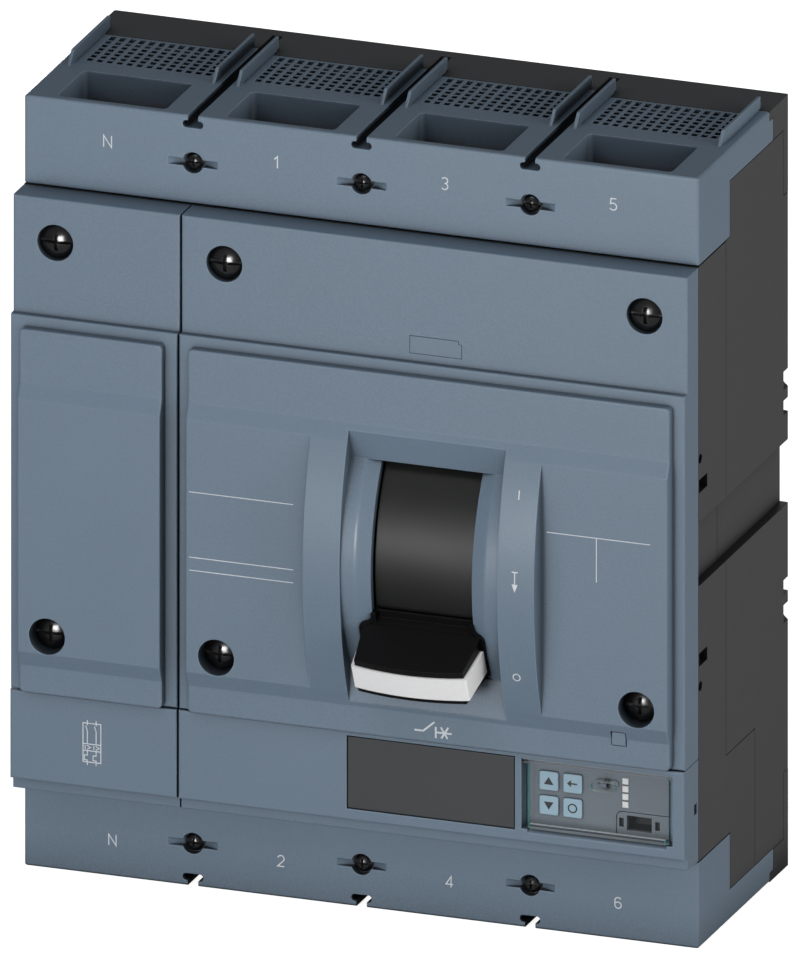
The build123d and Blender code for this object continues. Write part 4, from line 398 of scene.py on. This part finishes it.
def printed(name, polygons, surface, material, body="case"):
    """A thin print on a face: each polygon's points are (x, z) in millimetres."""
    verts, faces = [], []
    for layer, polygon in enumerate(polygons):
        for part in split_long(polygon):
            start = len(verts)
            for p in part:
                y = surface(p[0], p[1]) - INK_LIFT - layer * INK_LAYER
                verts.append((p[0] * MM, y * MM, p[1] * MM))
            faces.append(list(range(start, start + len(part))))
    mesh = bpy.data.meshes.new(name)
    mesh.from_pydata(verts, [], faces)
    mesh.validate()
    for polygon in mesh.polygons:
        if polygon.normal.y > 0:
            polygon.flip()
    mesh.materials.append(material)
    obj = bpy.data.objects.new(name, mesh)
    bpy.context.scene.collection.objects.link(obj)
    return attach(obj, body)


def glyph(character):
    """Strokes of a character in a box one unit tall, and its width."""
    if character == "N":
        return [[(0, 0), (0, 1), (0.68, 0), (0.68, 1)]], 0.68
    if character == "1":
        return [[(0.0, 0.76), (0.26, 1), (0.26, 0)]], 0.3
    if character == "2":
        bowl = circle(0.31, 0.71, 0.29, 165, -38, 18)
        return [bowl + [(0.0, 0.0), (0.62, 0.0)]], 0.62
    if character == "3":
        upper = circle(0.29, 0.745, 0.255, 150, -88, 18)
        lower = circle(0.29, 0.25, 0.27, 92, -150, 18)
        return [upper, lower], 0.58
    if character == "4":
        return [[(0.46, 0), (0.46, 1), (0.0, 0.28), (0.64, 0.28)]], 0.64
    if character == "5":
        return [[(0.56, 1), (0.1, 1), (0.05, 0.55)] + circle(0.28, 0.31, 0.3, 128, -150, 20)], 0.58
    if character == "6":
        hook = circle(0.31, 0.70, 0.29, 32, 180, 14)
        return [hook + circle(0.31, 0.29, 0.29, 180, 495, 26)], 0.62
    raise ValueError(character)


def character(name, text, x, z, height, width, surface, material, body="case"):
    """A character centred on (x, z)."""
    strokes, wide = glyph(text)
    quads = []
    for stroke in strokes:
        pts = [(x + (px - wide / 2) * height, z + (pz - 0.5) * height) for px, pz in stroke]
        quads += ribbon(pts, width)
    return printed(name, quads, surface, material, body)


LABEL_Z = 144.9
LABEL_STROKE = 0.5
for text, x in zip("N135", POLES):
    character(f"upper_label_{text}", text, x - 0.4, LABEL_Z, 4.8, LABEL_STROKE,
              flat(TERMINAL_FACE), INK)
for text, x in zip("N246", POLES):
    character(f"lower_label_{text}", text, x + 1.6, -LABEL_Z, 4.5, LABEL_STROKE,
              flat(TERMINAL_FACE), INK)

# position marks of the handle, on the right shoulder
MARK_X = 75.0
printed("mark_on", ribbon([(MARK_X, 27.6), (MARK_X, 31.2)], 0.5), wing_surface, INK)
printed("mark_off", ribbon(circle(MARK_X - 0.6, -46.0, 1.45), 0.5, True), wing_surface, INK)
arrow = ribbon([(MARK_X - 1.3, -1.0), (MARK_X + 1.3, -1.0)], 0.5)
arrow += ribbon([(MARK_X, -1.0), (MARK_X, -6.6)], 0.45)
arrow += [[(MARK_X - 1.25, -6.0), (MARK_X + 1.25, -6.0), (MARK_X, -9.4)]]
printed("mark_trip", arrow, wing_surface, INK)

# plain ruled lines where a rating table stands, on the raised panel
for name, line in {
    "rule_left_1": [(-63.5, 12.3), (-20.2, 12.3)],
    "rule_left_2": [(-63.5, -14.8), (-20.2, -14.8)],
    "rule_left_3": [(-63.5, -20.2), (-20.2, -20.2)],
    "rule_right_1": [(85.1, 14.0), (128.1, 14.0)],
    "rule_right_2": [(105.7, 14.0), (105.7, -4.4)],
}.items():
    printed(name, ribbon(line, 0.35), flat(PLATEAU), INK)


def strokes(x, z, lines, width):
    """Bands along lines given from a point."""
    quads = []
    for line in lines:
        quads += ribbon([(x + a, z + b) for a, b in line], width)
    return quads


# the usual drawing of a breaker in a line: open blade, bar and cross
BREAKER_SYMBOL = [
    [(-7.7, 0), (-4.0, 0), (0.6, 4.1)],
    [(1.2, 2.2), (1.2, -2.4)],
    [(1.6, 0), (7.8, 0)],
    [(3.3, 2.3), (6.1, -2.2)],
    [(6.4, 2.5), (3.5, -2.3)],
]
SYMBOL_X = 36.9
SYMBOL_Z = -75.8
symbol = strokes(SYMBOL_X, SYMBOL_Z, BREAKER_SYMBOL, 0.75)
printed("breaker_symbol", symbol, flat(STRIP), INK)

# line diagram of two poles: contacts above, releases and overload trips below, in one frame
DIAGRAM_FRAME = [[(-3.7, -8), (3.7, -8), (3.7, 8.1), (-3.7, 8.1), (-3.7, -8)],
                 [(-3.7, -0.5), (3.7, -0.5)], [(-3.7, -3.3), (3.7, -3.3)]]
DIAGRAM_POLE = [
    [(0, 9.4), (0, 7.2)],
    [(-0.7, 7.0), (0, 4.9), (0, -0.3)],
    [(-0.9, -1.1), (-0.9, -2.8)],
    [(-0.2, -1.1), (1.3, -1.9), (-0.2, -2.8)],
    [(0, -3.4), (0, -5.2), (-1.25, -5.2), (-1.25, -7.2), (0, -7.2), (0, -9.3)],
]
DIAGRAM_X = -105.9
DIAGRAM_Z = -99.4
diagram = strokes(DIAGRAM_X, DIAGRAM_Z, DIAGRAM_FRAME, 0.4)
for shift in (-1.9, 1.75):
    diagram += strokes(DIAGRAM_X + shift, DIAGRAM_Z, DIAGRAM_POLE, 0.38)
printed("pole_diagram", diagram, flat(TRIP_FACE), INK)

# marks on the keys, generic: up, down, back and enter
KEY_SPOTS = {"key_up": (81.8, -93.6), "key_back": (91.7, -93.6),
             "key_down": (81.8, -103.8), "key_enter": (91.7, -103.8)}


def key_mark(name, polygons):
    x, z = KEY_SPOTS[name]
    moved = [[(x + a, z + b) for a, b in polygon] for polygon in polygons]
    return printed(f"{name}_mark", moved, flat(KEY_FACE), DARK_INK, name)


key_mark("key_up", [[(-2.0, -1.5), (2.0, -1.5), (0, 1.7)]])
key_mark("key_down", [[(-2.0, 1.5), (2.0, 1.5), (0, -1.7)]])
key_mark("key_back", ribbon([(1.9, 0), (-0.6, 0)], 0.6) + [[(-0.6, -1.5), (-0.6, 1.5), (-2.3, 0)]])
key_mark("key_enter", ribbon(circle(0, 0, 1.7), 0.55, True))

# ------------------------------------------------------------ camera and stage
AZIMUTH = math.radians(20)
ELEVATION = math.radians(20)
VIEW_SHIFT_RIGHT = -0.02018
VIEW_SHIFT_UP = -0.01655
VIEW_WIDTH = 0.37424
CAMERA_DISTANCE = 2.0
back = Vector((
    math.sin(AZIMUTH) * math.cos(ELEVATION),
    -math.cos(AZIMUTH) * math.cos(ELEVATION),
    math.sin(ELEVATION),
))
right = Vector((math.cos(AZIMUTH), math.sin(AZIMUTH), 0))
up = back.cross(right)
centre = right * VIEW_SHIFT_RIGHT + up * VIEW_SHIFT_UP
camera = bpy.data.objects.new("camera", bpy.data.cameras.new("camera"))
camera.data.type = "ORTHO"
camera.data.ortho_scale = VIEW_WIDTH
camera.data.clip_end = 20
camera.location = centre + back * CAMERA_DISTANCE
camera.rotation_euler = back.to_track_quat("Z", "Y").to_euler()
bpy.context.scene.collection.objects.link(camera)
bpy.context.scene.camera = camera

FLOOR_Z = cad_box[0].z
FLOOR_HALF = 6.0
FLOOR_DROP = 0.0002


def floor_material():
    """Pale floor, lifted for the camera only, so that it doesn't light the object."""
    m, nodes, links, out = empty_material("floor")
    diffuse = nodes.new("ShaderNodeBsdfDiffuse")
    diffuse.inputs["Color"].default_value = (0.8, 0.8, 0.8, 1)
    glow = nodes.new("ShaderNodeEmission")
    glow.inputs["Strength"].default_value = 0.9
    add = nodes.new("ShaderNodeAddShader")
    dim = nodes.new("ShaderNodeBsdfDiffuse")
    dim.inputs["Color"].default_value = (0.45, 0.45, 0.45, 1)
    mix = nodes.new("ShaderNodeMixShader")
    path = nodes.new("ShaderNodeLightPath")
    links.new(path.outputs["Is Camera Ray"], mix.inputs[0])
    links.new(dim.outputs[0], mix.inputs[1])
    links.new(diffuse.outputs[0], add.inputs[0])
    links.new(glow.outputs[0], add.inputs[1])
    links.new(add.outputs[0], mix.inputs[2])
    links.new(mix.outputs[0], out.inputs[0])
    return m


floor_mesh = bpy.data.meshes.new("floor")
corners = ((-FLOOR_HALF, -FLOOR_HALF), (FLOOR_HALF, -FLOOR_HALF),
           (FLOOR_HALF, FLOOR_HALF), (-FLOOR_HALF, FLOOR_HALF))
floor_mesh.from_pydata([(x, y, FLOOR_Z - FLOOR_DROP) for x, y in corners], [], [(0, 1, 2, 3)])
floor_mesh.materials.append(floor_material())
floor = bpy.data.objects.new("floor", floor_mesh)
bpy.context.scene.collection.objects.link(floor)


def area_light(name, position, target, size, power, colour=(1, 1, 1)):
    data = bpy.data.lights.new(name, "AREA")
    data.shape = "RECTANGLE"
    data.size, data.size_y = size
    data.energy = power
    data.color = colour
    light = bpy.data.objects.new(name, data)
    light.location = position
    aim = Vector(target) - Vector(position)
    light.rotation_euler = aim.to_track_quat("-Z", "Y").to_euler()
    light.visible_camera = False
    bpy.context.scene.collection.objects.link(light)
    return light


area_light("front_key", (-0.1, -1.5, -0.04), (0, -0.1, 0.03), (0.4, 0.5), 14)
area_light("right_fill", (2.0, -0.3, 0.25), (0, 0, 0), (1.2, 1.4), 26, (1.0, 0.97, 0.94))
area_light("top_front", (-0.1, -0.9, 1.3), (0, -0.05, 0.1), (0.8, 0.8), 4.2)
area_light("rear_fill", (-0.6, 1.7, 0.0), (0, 0, 0), (0.9, 0.24), 14)

world = bpy.data.worlds.new("studio")
bpy.context.scene.world = world
world.use_nodes = True
shade = world.node_tree.nodes["Background"]
shade.inputs["Color"].default_value = (0.93, 0.96, 1.0, 1)
shade.inputs["Strength"].default_value = 0.14
bpy.context.scene.view_settings.view_transform = "Standard"
